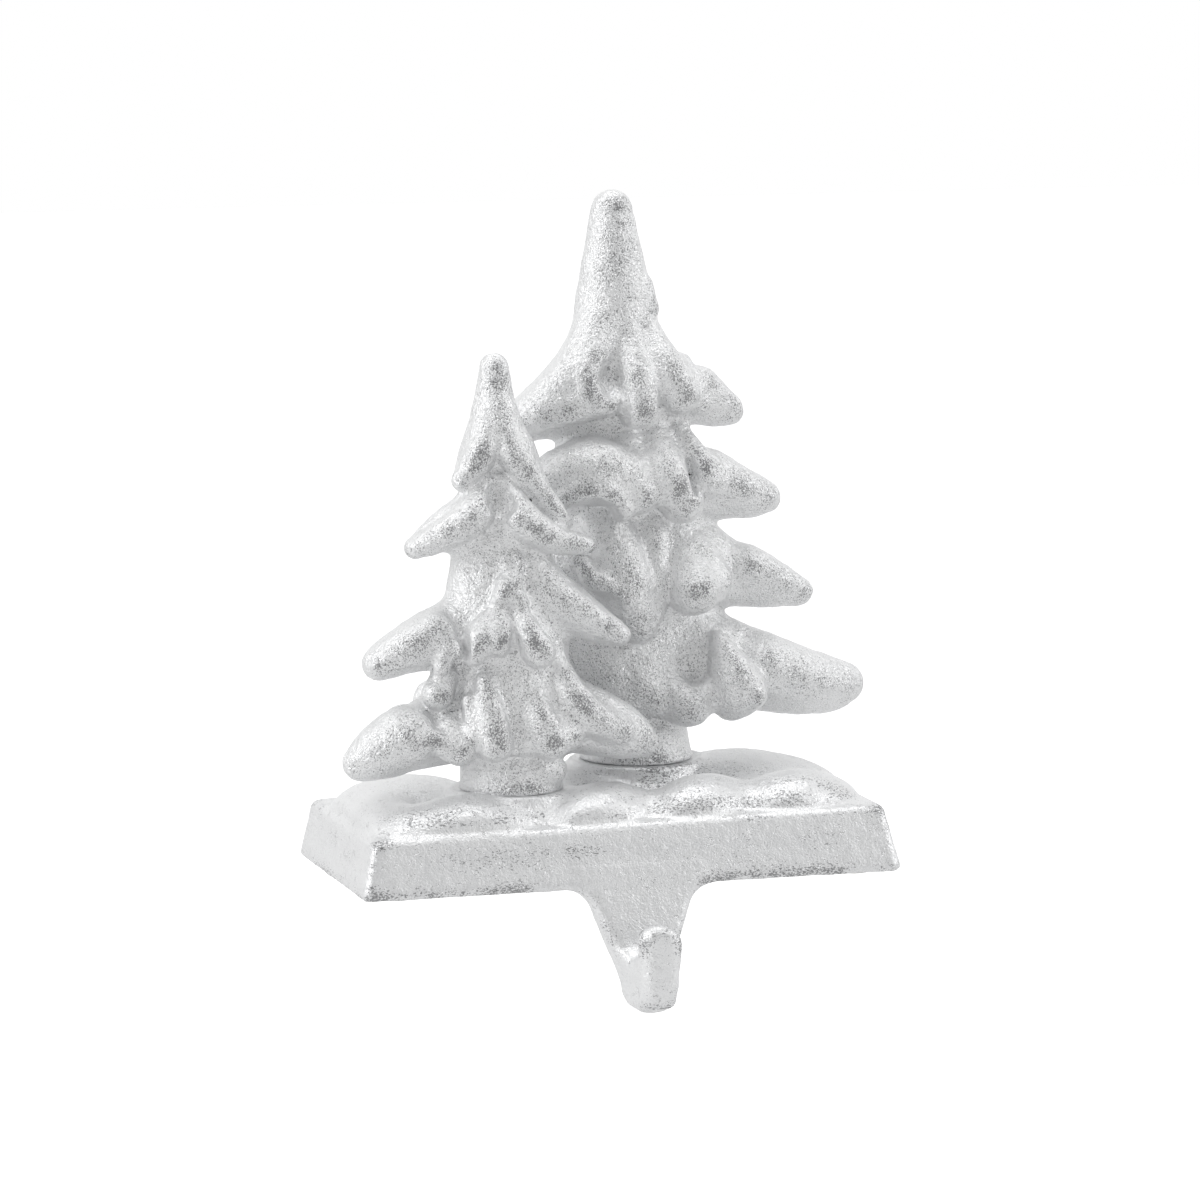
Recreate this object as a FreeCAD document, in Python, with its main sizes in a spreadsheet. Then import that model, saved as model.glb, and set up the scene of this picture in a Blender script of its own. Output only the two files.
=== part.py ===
import FreeCAD, Part
import os
import Sketcher
from types import SimpleNamespace
from FreeCAD import Vector

# Stocking holder for a mantel shelf: a hollow cast base with a snow drift and a J hook,
# two cast fir trees that stand on it, a screw up into each trunk, and four pads underneath.
# X runs along the shelf, +Y into the wall, +Z up. The origin is on the shelf's front top edge:
# y = 0 is the back of the hook, z = 0 is the bottom of the pads.

doc = FreeCAD.newDocument("stocking_holder")
sheet = doc.addObject("Spreadsheet::Sheet", "Sizes")

# Driving sizes in millimetres and degrees
sizes = {
    # block of the base
    "base_length": 127.0,
    "base_depth": 60.0,
    "height_left": 13.3,
    "height_right": 15.1,
    "end_inset": 3.5,
    "front_inset": 3.7,
    "rear_inset": 0.65,
    "corner_radius": 2.4,
    "top_edge_radius": 1.2,
    "bottom_edge_radius": 0.8,
    # hollow underside
    "plate_thickness": 5.5,
    "side_wall": 5.0,
    "roof_thickness": 4.0,
    "cavity_corner_radius": 3.0,
    # hook
    "hook_centre": 0.8,
    "hook_root_width": 24.8,
    "hook_low_width": 10.2,
    "hook_low_level": 20.0,
    "hook_toe_width": 9.2,
    "hook_drop": 27.2,
    "hook_reach": 18.5,
    "hook_root_radius": 6.0,
    "plate_lean": 0.3,
    "throat_depth": 14.2,
    "throat_gap": 4.4,
    "finger_top_drop": 6.6,
    "finger_width": 11.8,
    "finger_tip_width": 5.2,
    "finger_shoulder": 4.4,
    "finger_brow_width": 8.7,
    "finger_brow_drop": 1.5,
    "throat_radius": 1.9,
    "finger_radius": 1.9,
    "finger_side_radius": 1.6,
    "toe_radius": 6.0,
    "heel_radius": 5.0,
    # where the trees stand, from the origin and above the rim
    "small_tree_place": -23.0,
    "small_tree_setback": 17.0,
    "small_seat_height": 20.2,
    "large_tree_place": 12.5,
    "large_tree_setback": 36.0,
    "large_seat_height": 22.2,
    "small_foot_radius": 11.8,
    "large_foot_radius": 13.2,
    "seat_clearance": 0.5,
    "seat_wall": 2.0,
    # screws
    "screw_diameter": 5.0,
    "screw_length": 25.0,
    "screw_head_diameter": 9.0,
    "screw_head_height": 2.8,
    "screw_head_bevel": 0.8,
    "screw_tip_bevel": 0.6,
    "screw_slot_width": 1.2,
    "screw_slot_depth": 1.3,
    "screw_clearance": 0.25,
    "thread_clearance": 0.05,
    "tapped_depth": 12.0,
    "boss_diameter": 14.0,
    "boss_lift": 4.0,
    # pads
    "pad_diameter": 9.0,
    "pad_thickness": 0.8,
    "pad_inset": 9.5,
    "pad_boss_diameter": 12.0,
    # snow above the hollow, and how far a cut runs past what it cuts
    "drift_room_height": 24.0,
    "drift_floor_lift": 1.0,
    "cut_overrun": 1.0,
}

# Snow drifts on the base: middle (along, into the wall, above the rim) and half sizes
drifts = {
    "left_lobe": (-36.0, 11.0, 11.4, 21.0, 13.5, 9.0),
    "middle_lobe": (-3.0, 9.5, 11.8, 14.0, 12.2, 9.6),
    "right_lobe": (19.0, 9.5, 12.4, 13.0, 12.2, 9.6),
    "end_lobe": (41.5, 10.5, 12.8, 15.5, 13.0, 9.0),
    "right_tail": (50.5, 24.0, 12.4, 9.6, 22.0, 6.0),
    "right_crest": (36.0, 34.0, 12.4, 23.0, 19.2, 10.4),
    "large_mound": (8.0, 35.5, 12.4, 26.0, 18.4, 10.6),
    "small_mound": (-23.0, 20.0, 12.4, 22.0, 18.0, 8.6),
    "left_crest": (-42.0, 33.5, 12.0, 18.0, 20.0, 8.4),
}

# Stem of each tree, bottom to top: height, offset to the right, half width, half depth
small_stem = [
    (5.0, 0.0, 11.6, 11.0),
    (10.0, -0.5, 13.5, 11.0),
    (18.0, -0.8, 15.5, 12.0),
    (30.0, -1.2, 14.5, 11.5),
    (42.0, -1.8, 13.5, 10.5),
    (54.0, -2.2, 11.5, 9.0),
    (66.0, -2.8, 8.5, 7.0),
    (76.0, -3.2, 6.4, 5.4),
    (86.0, -3.5, 4.2, 4.0),
    (95.8, -3.8, 2.9, 2.9),
]
large_stem = [
    (7.0, -0.2, 12.0, 12.0),
    (13.0, -0.5, 15.0, 12.5),
    (24.0, -1.0, 19.0, 13.5),
    (36.0, -1.8, 19.0, 13.5),
    (50.0, -2.4, 18.0, 12.5),
    (62.0, -3.0, 17.0, 11.5),
    (74.0, -3.8, 15.5, 10.5),
    (86.0, -4.6, 13.5, 9.5),
    (98.0, -5.0, 10.5, 8.5),
    (110.0, -5.4, 8.0, 7.2),
    (126.2, -5.9, 4.9, 4.9),
]

# Boughs: right and back offset of the root, its height, bearing, droop, length to the tip's
# middle, then the radii of root, middle and tip, and how far the middle is lifted
small_boughs = {
    "cap_left": (-4.5, -1.0, 84.0, 184.0, 62.0, 14.8, 4.0, 3.9, 2.6, 0.3),
    "cap_right": (-2.0, -2.0, 84.0, -14.0, 65.0, 15.1, 4.0, 3.8, 2.6, 0.6),
    "cap_low": (4.0, -2.0, 68.0, -6.0, 46.0, 6.5, 3.0, 2.9, 2.5, 0.0),
    "two_left": (-7.0, 0.0, 62.0, 184.0, 21.0, 16.7, 7.0, 4.7, 2.2, 0.4),
    "two_right": (-1.0, -3.0, 60.0, -6.0, 15.0, 17.7, 5.8, 3.5, 1.7, -0.2),
    "three_left": (-12.0, 0.0, 37.0, 186.0, 17.5, 21.4, 8.5, 6.8, 2.7, 1.3),
    "three_right": (4.0, -2.0, 45.0, -6.0, 27.0, 23.8, 7.5, 5.2, 2.0, 0.6),
    "four_left": (-12.0, 0.0, 15.5, 185.0, 18.5, 23.8, 9.0, 7.4, 4.0, 1.2),
    "four_right": (6.0, -2.0, 18.0, -5.0, 19.0, 24.8, 9.0, 7.7, 3.9, 1.0),
}
large_boughs = {
    "one_left": (-9.0, 0.0, 92.0, 180.0, 34.5, 26.7, 8.5, 7.0, 4.0, -1.2),
    "one_right": (2.0, -1.0, 88.0, -6.0, 22.5, 21.2, 9.0, 6.2, 3.3, -0.2),
    "two_left": (-8.0, 2.0, 64.0, 180.0, 13.0, 26.7, 10.0, 6.8, 3.4, 1.0),
    "two_right": (6.0, -1.0, 65.0, -5.0, 12.8, 25.0, 10.5, 7.3, 3.6, 0.4),
    "three_left": (-10.0, 2.0, 45.0, 176.0, 15.0, 31.1, 11.0, 7.3, 3.6, 1.0),
    "three_right": (9.0, -1.0, 46.0, -4.0, 16.2, 31.2, 11.5, 7.3, 3.0, -0.2),
    "four_left": (-12.0, 2.0, 23.0, 176.0, 13.0, 36.0, 11.0, 8.8, 5.0, -0.6),
    "four_right": (14.0, -1.0, 23.0, -3.0, 12.5, 36.6, 11.5, 8.9, 4.8, -0.6),
}

# Lobes of snow and needles: right, back and up from the foot, half sizes, lean to the right
small_lobes = {
    "rib_knob": (-2.0, -9.5, 50.0, 2.2, 3.4, 3.8, 0.0),
    "rib_fork": (-3.5, -10.5, 45.0, 3.0, 3.2, 3.2, 0.0),
    "bud_left": (-10.8, -10.0, 35.8, 4.4, 4.6, 5.6, 25.0),
    "bud_right": (2.2, -11.0, 35.6, 3.6, 4.6, 6.8, -18.0),
    "low_knob": (-19.0, -6.0, 15.2, 3.2, 4.0, 3.2, 0.0),
    "low_bud": (-14.0, -10.0, 13.0, 3.6, 4.4, 4.4, 0.0),
    "low_rib": (-7.8, -11.6, 15.0, 3.2, 4.2, 8.2, 0.0),
    "low_lobe": (6.0, -11.2, 14.5, 4.8, 5.0, 5.8, 0.0),
    "trunk_knob": (5.6, -8.0, 5.5, 5.2, 4.8, 3.6, 0.0),
    "back_high": (-3.0, 8.5, 50.0, 5.5, 4.2, 7.0, 0.0),
    "back_left": (-9.5, 10.0, 35.0, 5.0, 4.2, 6.5, 15.0),
    "back_right": (6.0, 10.0, 34.0, 5.0, 4.2, 6.5, -15.0),
    "back_low": (-3.0, 11.5, 15.0, 7.0, 4.0, 7.0, 0.0),
}
large_lobes = {
    "top_knob": (2.2, -3.0, 103.0, 3.0, 3.5, 4.2, 0.0),
    "finger": (-2.6, -8.6, 85.0, 2.9, 3.6, 9.0, 0.0),
    "curl": (-10.8, -8.0, 86.5, 3.4, 3.8, 5.6, 20.0),
    "leaf": (7.0, -6.6, 90.0, 2.9, 3.2, 8.0, -35.0),
    "leaf_rib": (12.0, -5.6, 86.5, 2.2, 3.2, 6.4, -25.0),
    "dome": (-13.5, -8.6, 67.0, 11.0, 6.4, 6.4, 0.0),
    "lobe_two": (4.4, -10.0, 64.5, 4.9, 5.4, 8.6, -18.0),
    "tongue": (-8.6, -10.6, 47.0, 8.4, 5.4, 9.6, -12.0),
    "tongue_tip": (-5.0, -12.2, 37.6, 4.2, 4.2, 8.0, -12.0),
    "bud": (8.0, -12.2, 41.6, 6.0, 6.0, 6.2, 0.0),
    "hood": (17.2, -10.2, 21.0, 4.8, 5.4, 8.2, -15.0),
    "hood_foot": (20.0, -10.0, 16.0, 7.2, 6.0, 5.6, 0.0),
    "low_lobe": (8.6, -11.6, 15.2, 4.9, 5.4, 4.9, 0.0),
    "back_top": (-4.0, 8.6, 84.0, 6.0, 4.0, 9.0, 0.0),
    "back_two": (4.0, 10.0, 62.0, 7.0, 4.6, 7.0, -15.0),
    "back_dome": (-12.0, 9.6, 60.0, 8.0, 4.6, 6.5, 10.0),
    "back_three": (-3.0, 12.0, 40.0, 9.0, 4.6, 9.0, 0.0),
    "back_low": (10.0, 12.4, 19.0, 8.0, 4.6, 6.5, 0.0),
    "back_low_left": (-12.0, 12.0, 19.0, 8.0, 4.6, 6.5, 0.0),
}


class Size:
    """A size with its value and the words that give it in the sheet."""

    def __init__(self, text, value):
        self.text = text
        self.value = float(value)

    def join(self, sign, other, value, swap=False):
        text = other.text if isinstance(other, Size) else repr(float(other))
        first, second = (text, self.text) if swap else (self.text, text)
        return Size("(%s %s %s)" % (first, sign, second), value)

    def __add__(self, other):
        return self.join("+", other, self.value + float(other))

    def __radd__(self, other):
        return self.join("+", other, self.value + float(other), True)

    def __sub__(self, other):
        return self.join("-", other, self.value - float(other))

    def __rsub__(self, other):
        return self.join("-", other, float(other) - self.value, True)

    def __mul__(self, other):
        return self.join("*", other, self.value * float(other))

    def __rmul__(self, other):
        return self.join("*", other, self.value * float(other), True)

    def __truediv__(self, other):
        return self.join("/", other, self.value / float(other))

    def __neg__(self):
        return Size("(-1 * %s)" % self.text, -self.value)

    def __float__(self):
        return self.value


cells_used = 0


def put(name, value):
    """Write one size into the next free cell under its own name."""
    global cells_used
    cells_used += 1
    cell = "A%d" % cells_used
    sheet.set(cell, str(value))
    sheet.setAlias(cell, name)
    return Size("Sizes." + name, value)


n = SimpleNamespace(**{name: put(name, value) for name, value in sizes.items()})


def bind(thing, prop, value):
    thing.setExpression(prop, value.text if isinstance(value, Size) else repr(float(value)))


def place(thing, right, back, up, turn=0.0, tip=0.0, roll=0.0):
    """Bind where a thing stands, its turn about Z, its tip about its own Y and its roll about X."""
    texts = [item.text if isinstance(item, Size) else repr(float(item))
             for item in (right, back, up, turn, tip, roll)]
    thing.setExpression(
        "Placement",
        "create(<<placement>>; create(<<vector>>; %s; %s; %s);"
        " create(<<rotation>>; %s; %s; %s))" % tuple(texts),
    )


def check(thing):
    bad = [word for word in thing.State if word in ("Invalid", "Error")]
    if bad or thing.Shape.isNull() or not thing.Shape.isValid():
        raise RuntimeError("%s failed: %s" % (thing.Name, thing.State))


def add_sketch(body, name, plane, offset=None):
    """A sketch on one of the body's own origin planes, set off along its normal."""
    sketch = body.newObject("Sketcher::SketchObject", name)
    support = [item for item in body.Origin.OriginFeatures if item.Role == plane]
    sketch.AttachmentSupport = [(support[0], "")]
    sketch.MapMode = "FlatFace"
    if offset is not None:
        bind(sketch, "AttachmentOffset.Base.z", offset)
    return sketch


def add_outline(sketch, corners):
    """A closed outline of straight lines, each corner bound to the sheet."""
    first = sketch.GeometryCount
    count = len(corners)
    spots = [Vector(float(across), float(up), 0) for across, up in corners]
    for index in range(count):
        sketch.addGeometry(Part.LineSegment(spots[index], spots[(index + 1) % count]))
    for index in range(count):
        following = first + (index + 1) % count
        sketch.addConstraint(Sketcher.Constraint("Coincident", first + index, 2, following, 1))
    for index, (across, up) in enumerate(corners):
        fix(sketch, first + index, 1, "DistanceX", -2, across)
        fix(sketch, first + index, 1, "DistanceY", -1, up)


def add_circle(sketch, across, up, radius):
    index = sketch.addGeometry(Part.Circle(Vector(float(across), float(up), 0),
                                           Vector(0, 0, 1), float(radius)))
    fix(sketch, index, 3, "DistanceX", -2, across)
    fix(sketch, index, 3, "DistanceY", -1, up)
    rule = sketch.addConstraint(Sketcher.Constraint("Radius", index, float(radius)))
    bind(sketch, "Constraints[%d]" % rule, radius)


def fix(sketch, item, point, kind, axis, value):
    """Bind one coordinate of a point, or put the point on the axis where it is zero."""
    if not isinstance(value, Size) and value == 0:
        sketch.addConstraint(Sketcher.Constraint("PointOnObject", item, point, axis))
        return
    rule = sketch.addConstraint(Sketcher.Constraint(kind, -1, 1, item, point, float(value)))
    bind(sketch, "Constraints[%d]" % rule, value)


def add_feature(body, kind, name, sketch, length, backwards=False, both_ways=False):
    """A pad or pocket, checked to have changed the solid the way it should."""
    before = body.Tip.Shape.Volume if body.Tip else 0.0
    feature = body.newObject(kind, name)
    feature.Profile = sketch
    bind(feature, "Length", length)
    feature.Reversed = backwards
    if both_ways:
        feature.SideType = "Symmetric"
    doc.recompute()
    check(feature)
    grown = feature.Shape.Volume - before
    if grown * (1 if kind.endswith("Pad") else -1) <= 0:
        raise RuntimeError(name + " points away from the solid")
    return feature


def add_fillet(body, name, radius, test):
    """Round the edges whose middle point and direction pass the test."""
    base = body.Tip
    names = []
    for index, edge in enumerate(base.Shape.Edges):
        middle = edge.valueAt((edge.FirstParameter + edge.LastParameter) / 2)
        run = edge.Vertexes[-1].Point - edge.Vertexes[0].Point
        if test(middle, run, edge):
            names.append("Edge%d" % (index + 1))
    if not names:
        raise RuntimeError("no edges to round for " + name)
    fillet = body.newObject("PartDesign::Fillet", name)
    fillet.Base = (base, names)
    bind(fillet, "Radius", radius)
    doc.recompute()
    check(fillet)
    return fillet


def near(first, second, slack=0.05):
    return abs(float(first) - float(second)) < slack


# Block of the base: a front outline that is taller on the right, drafted at front and rear
block = doc.addObject("PartDesign::Body", "base_block")
half_length = n.base_length / 2
rear = n.base_depth - n.plate_thickness
front_outline = add_sketch(block, "front_outline", "XZ_Plane", -rear)
add_outline(front_outline, [
    (-half_length, 0),
    (half_length, 0),
    (half_length - n.end_inset, n.height_right),
    (-half_length + n.end_inset, n.height_left),
])
add_feature(block, "PartDesign::Pad", "block", front_outline, n.base_depth)


def add_slope(name, bottom_at, inset, outside):
    """Slope one long side of the block, from its bottom edge to its inset at the top."""
    side = add_sketch(block, name + "_outline", "YZ_Plane")
    add_outline(side, [
        (bottom_at, 0),
        (bottom_at + inset, n.height_right),
        (bottom_at + outside, n.height_right),
        (bottom_at + outside, 0),
    ])
    add_feature(block, "PartDesign::Pocket", name, side, n.base_length, both_ways=True)


add_slope("front_slope", -n.plate_thickness, n.front_inset, -n.front_inset)
add_slope("rear_slope", rear, -n.rear_inset, n.rear_inset)
add_fillet(block, "corner_rounding", n.corner_radius,
           lambda middle, run, edge: abs(run.z) > 0.8 * float(n.height_left))
add_fillet(block, "top_rounding", n.top_edge_radius,
           lambda middle, run, edge: middle.z > 0.9 * float(n.height_left)
           and abs(run.z) < 0.3 * float(n.height_left))

# Hook: its front outline, then the throat, the finger and the slopes cut from the side
root = n.hook_root_width / 2
above_rim = n.roof_thickness
hook_outline = add_sketch(block, "hook_outline", "XZ_Plane")
add_outline(hook_outline, [
    (n.hook_centre - root, above_rim),
    (n.hook_centre - root, 0),
    (n.hook_centre - n.hook_low_width / 2, -n.hook_low_level),
    (n.hook_centre - n.hook_toe_width / 2, -n.hook_drop),
    (n.hook_centre + n.hook_toe_width / 2, -n.hook_drop),
    (n.hook_centre + n.hook_low_width / 2, -n.hook_low_level),
    (n.hook_centre + root, 0),
    (n.hook_centre + root, above_rim),
])
add_feature(block, "PartDesign::Pad", "hook", hook_outline, n.hook_reach)

plate_low = n.plate_thickness + n.plate_lean * n.throat_depth
finger_inside = plate_low + n.throat_gap
finger_top = n.finger_top_drop
side_view = add_sketch(block, "hook_side", "YZ_Plane", n.hook_centre)
slope = n.front_inset / n.height_right
add_outline(side_view, [
    (-n.plate_thickness + slope * above_rim, above_rim),
    (-n.plate_thickness, 0),
    (-plate_low, -n.throat_depth),
    (-finger_inside, -n.throat_depth),
    (-finger_inside, -finger_top),
    (-n.hook_reach, -finger_top),
    (-n.hook_reach, above_rim),
])
add_feature(block, "PartDesign::Pocket", "throat", side_view, n.hook_root_width, both_ways=True)


def lies_along(run, axis):
    return run.Length > 0 and abs(getattr(run, axis)) > 0.9 * run.Length


def at_profile(middle, back, up):
    return near(middle.y, back) and near(middle.z, up)


add_fillet(block, "throat_floor", n.throat_radius,
           lambda middle, run, edge: near(middle.z, -n.throat_depth) and lies_along(run, "x"))
add_fillet(block, "finger_top", n.finger_radius,
           lambda middle, run, edge: near(middle.z, -finger_top) and lies_along(run, "x"))
add_fillet(block, "heel", n.heel_radius,
           lambda middle, run, edge: at_profile(middle, 0, -n.hook_drop))
add_fillet(block, "toe", n.toe_radius,
           lambda middle, run, edge: at_profile(middle, -n.hook_reach, -n.hook_drop))

finger_sides = add_sketch(block, "finger_sides", "XZ_Plane", plate_low + n.finger_radius)
for side in (-1, 1):
    add_outline(finger_sides, [
        (n.hook_centre + side * n.finger_width / 2, -finger_top - n.finger_shoulder),
        (n.hook_centre + side * n.finger_brow_width / 2, -finger_top - n.finger_brow_drop),
        (n.hook_centre + side * n.finger_tip_width / 2, -finger_top),
        (n.hook_centre + side * n.finger_tip_width / 2, 0),
        (n.hook_centre + side * n.hook_root_width, 0),
        (n.hook_centre + side * n.hook_root_width, -n.hook_drop),
        (n.hook_centre + side * n.finger_width / 2, -n.hook_drop),
    ])
add_feature(block, "PartDesign::Pocket", "finger_trim", finger_sides, n.hook_reach, backwards=True)

add_fillet(block, "hook_root", n.hook_root_radius,
           lambda middle, run, edge: near(middle.z, 0) and lies_along(run, "y")
           and near(abs(middle.x - float(n.hook_centre)), root))
add_fillet(block, "finger_rounding", n.finger_side_radius,
           lambda middle, run, edge: near(middle.y, -n.hook_reach) and lies_along(run, "z")
           and near(abs(middle.x - float(n.hook_centre)), n.finger_width / 2))
add_fillet(block, "bottom_rounding", n.bottom_edge_radius,
           lambda middle, run, edge: near(middle.z, 0) and middle.y > 1)

# Hollow underside, with a boss under each tree and one in each corner for a pad
cavity_depth = n.height_left - n.roof_thickness
cavity_outline = add_sketch(block, "cavity_outline", "XY_Plane")
cavity_front = -n.plate_thickness + n.side_wall
add_outline(cavity_outline, [
    (-half_length + n.side_wall, cavity_front),
    (half_length - n.side_wall, cavity_front),
    (half_length - n.side_wall, rear - n.side_wall),
    (-half_length + n.side_wall, rear - n.side_wall),
])
add_feature(block, "PartDesign::Pocket", "cavity", cavity_outline, cavity_depth, backwards=True)
add_fillet(block, "cavity_corners", n.cavity_corner_radius,
           lambda middle, run, edge: near(middle.z, cavity_depth / 2) and lies_along(run, "z")
           and abs(middle.x) < float(half_length))

pad_spots = {
    "pad_front_left": (-half_length + n.pad_inset, -n.plate_thickness + n.pad_inset),
    "pad_front_right": (half_length - n.pad_inset, -n.plate_thickness + n.pad_inset),
    "pad_rear_left": (-half_length + n.pad_inset, rear - n.pad_inset),
    "pad_rear_right": (half_length - n.pad_inset, rear - n.pad_inset),
}
tree_spots = {
    "small": (n.small_tree_place, n.small_tree_setback, n.small_seat_height, n.small_foot_radius),
    "large": (n.large_tree_place, n.large_tree_setback, n.large_seat_height, n.large_foot_radius),
}
pad_bosses = add_sketch(block, "pad_bosses_outline", "XY_Plane")
for across, back in pad_spots.values():
    add_circle(pad_bosses, across, back, n.pad_boss_diameter / 2)
add_feature(block, "PartDesign::Pad", "pad_bosses", pad_bosses, cavity_depth)
screw_bosses = add_sketch(block, "screw_bosses_outline", "XY_Plane", n.boss_lift)
for across, back, seat, foot in tree_spots.values():
    add_circle(screw_bosses, across, back, n.boss_diameter / 2)
add_feature(block, "PartDesign::Pad", "screw_bosses", screw_bosses, cavity_depth - n.boss_lift)


def add_drift(name, right, back, up, width, depth, height):
    """A snow drift of the given half sizes; its own axis stands upright."""
    form = doc.addObject("Part::Ellipsoid", name)
    bind(form, "Radius1", height)
    bind(form, "Radius2", width)
    bind(form, "Radius3", depth)
    place(form, right, back, up)
    return form


def add_lobe(name, right, back, up, width, depth, height, lean):
    """A lobe of foliage of the given half sizes; lean tips its top to the right.

    Its own axis runs from front to back, so that only its smooth end shows.
    """
    form = doc.addObject("Part::Ellipsoid", name)
    bind(form, "Radius1", depth)
    bind(form, "Radius2", width)
    bind(form, "Radius3", height)
    place(form, right, back, up, 0.0, lean, 90.0)
    return form


def add_post(name, right, back, up, radius, height):
    form = doc.addObject("Part::Cylinder", name)
    bind(form, "Radius", radius)
    bind(form, "Height", height)
    place(form, right, back, up)
    return form


def join(kind, name, shapes):
    result = doc.addObject(kind, name)
    result.Shapes = shapes
    result.Refine = False
    return result


def cut_away(name, solid, tool):
    result = doc.addObject("Part::Cut", name)
    result.Base = solid
    result.Tool = tool
    result.Refine = False
    return result


def named_row(prefix, words, values):
    """Put one row of a table into the sheet, a size for each word."""
    return [put("%s_%s" % (prefix, word), value) for word, value in zip(words, values)]


# Snow drifts, kept above the hollow and inside the block's top edge
heap = []
for name, row in drifts.items():
    words = ("place", "setback", "level", "half_width", "half_depth", "half_height")
    heap.append(add_drift("drift_" + name, *named_row("drift_" + name, words, row)))
for name, (across, back, seat, foot) in tree_spots.items():
    heap.append(add_post(name + "_plinth", across, back, cavity_depth,
                         foot + n.seat_wall, seat - cavity_depth))
room = doc.addObject("Part::Box", "drift_room")
top_length = n.base_length - 2 * n.end_inset
top_depth = n.base_depth - n.front_inset - n.rear_inset
bind(room, "Length", top_length)
bind(room, "Width", top_depth)
bind(room, "Height", n.drift_room_height)
place(room, -top_length / 2, -n.plate_thickness + n.front_inset, cavity_depth + n.drift_floor_lift)
snow = join("Part::MultiCommon", "snow", [join("Part::MultiFuse", "drift_heap", heap), room])

# Flat seats for the two feet and clearance holes for the screws
cutters = []
for name, (across, back, seat, foot) in tree_spots.items():
    cutters.append(add_post(name + "_seat_cut", across, back, seat,
                            foot + n.seat_clearance, n.drift_room_height))
    cutters.append(add_post(name + "_screw_hole", across, back, 0.0,
                            n.screw_diameter / 2 + n.screw_clearance, n.drift_room_height))
base = cut_away("base", join("Part::MultiFuse", "base_casting", [block, snow]),
                join("Part::MultiFuse", "base_cutters", cutters))
base.Label = "base"
place(base, 0.0, 0.0, n.pad_thickness)


def add_section(name, right, up, width, depth=None):
    """One level ring of a loft; a circle when no depth is given."""
    if depth is None:
        ring = doc.addObject("Part::Circle", name)
        bind(ring, "Radius", width)
    else:
        ring = doc.addObject("Part::Ellipse", name)
        bind(ring, "MajorRadius", width)
        bind(ring, "MinorRadius", depth)
    place(ring, right, 0.0, up)
    return ring


def add_tip(name, right, up, radius):
    """Rings and a point that round off the end of a stem or bough."""
    rings = []
    for step, (rise, share) in enumerate(((0.4, 0.92), (0.75, 0.66), (0.95, 0.31))):
        rings.append(add_section("%s_tip_%d" % (name, step), right, up + radius * rise,
                                 radius * share))
    point = doc.addObject("Part::Vertex", name + "_point")
    place(point, right, 0.0, up + radius)
    return rings + [point]


def add_loft(name, sections, ruled):
    loft = doc.addObject("Part::Loft", name)
    loft.Sections = sections
    loft.Solid = True
    loft.Ruled = ruled
    return loft


def add_stem(tree, foot, rows):
    """A stem lofted from the round foot through its rings to a rounded top."""
    rings = [add_section(tree + "_foot_ring", 0.0, 0.0, foot, foot)]
    for index, row in enumerate(rows):
        prefix = "%s_stem_%d" % (tree, index + 1)
        words = ("height", "offset", "half_width", "half_depth")
        height, offset, width, depth = named_row(prefix, words, row)
        rings.append(add_section(prefix, offset, height, width, depth))
    rings += add_tip(tree + "_stem", offset, height, width)
    return add_loft(tree + "_stem", rings, False)


def add_bough(tree, name, row):
    """A bough along its own Z: root, middle and tip rings, then turned and set on the stem."""
    prefix = "%s_%s" % (tree, name)
    words = ("right", "back", "height", "bearing", "droop", "length",
             "root_radius", "middle_radius", "tip_radius", "lift")
    right, back, height, bearing, droop, length, root_r, middle_r, tip_r, lift = named_row(
        prefix, words, row)
    rings = [
        add_section(prefix + "_root", 0.0, 0.0, root_r),
        add_section(prefix + "_middle", -lift, length / 2, middle_r),
        add_section(prefix + "_tip", 0.0, length, tip_r),
    ]
    bough = add_loft(prefix, rings + add_tip(prefix, 0.0, length, tip_r), True)
    place(bough, right, back, height, bearing, droop + 90)
    return bough


def add_tree(tree, stem, boughs, lobes):
    across, back, seat, foot = tree_spots[tree]
    forms = [add_stem(tree, foot, stem)]
    forms += [add_bough(tree, name, row) for name, row in boughs.items()]
    words = ("right", "back", "height", "half_width", "half_depth", "half_height", "lean")
    for name, row in lobes.items():
        prefix = "%s_%s" % (tree, name)
        forms.append(add_lobe(prefix, *named_row(prefix, words, row)))
    hole = add_post(tree + "_tapped_hole", 0.0, 0.0, -n.cut_overrun,
                    n.screw_diameter / 2 + n.thread_clearance, n.tapped_depth + n.cut_overrun)
    casting = cut_away(tree + "_tree", join("Part::MultiFuse", tree + "_forms", forms), hole)
    casting.Label = tree + "_tree"
    place(casting, across, back, n.pad_thickness + seat)
    return casting


trees = [
    add_tree("small", small_stem, small_boughs, small_lobes),
    add_tree("large", large_stem, large_boughs, large_lobes),
]


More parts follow.
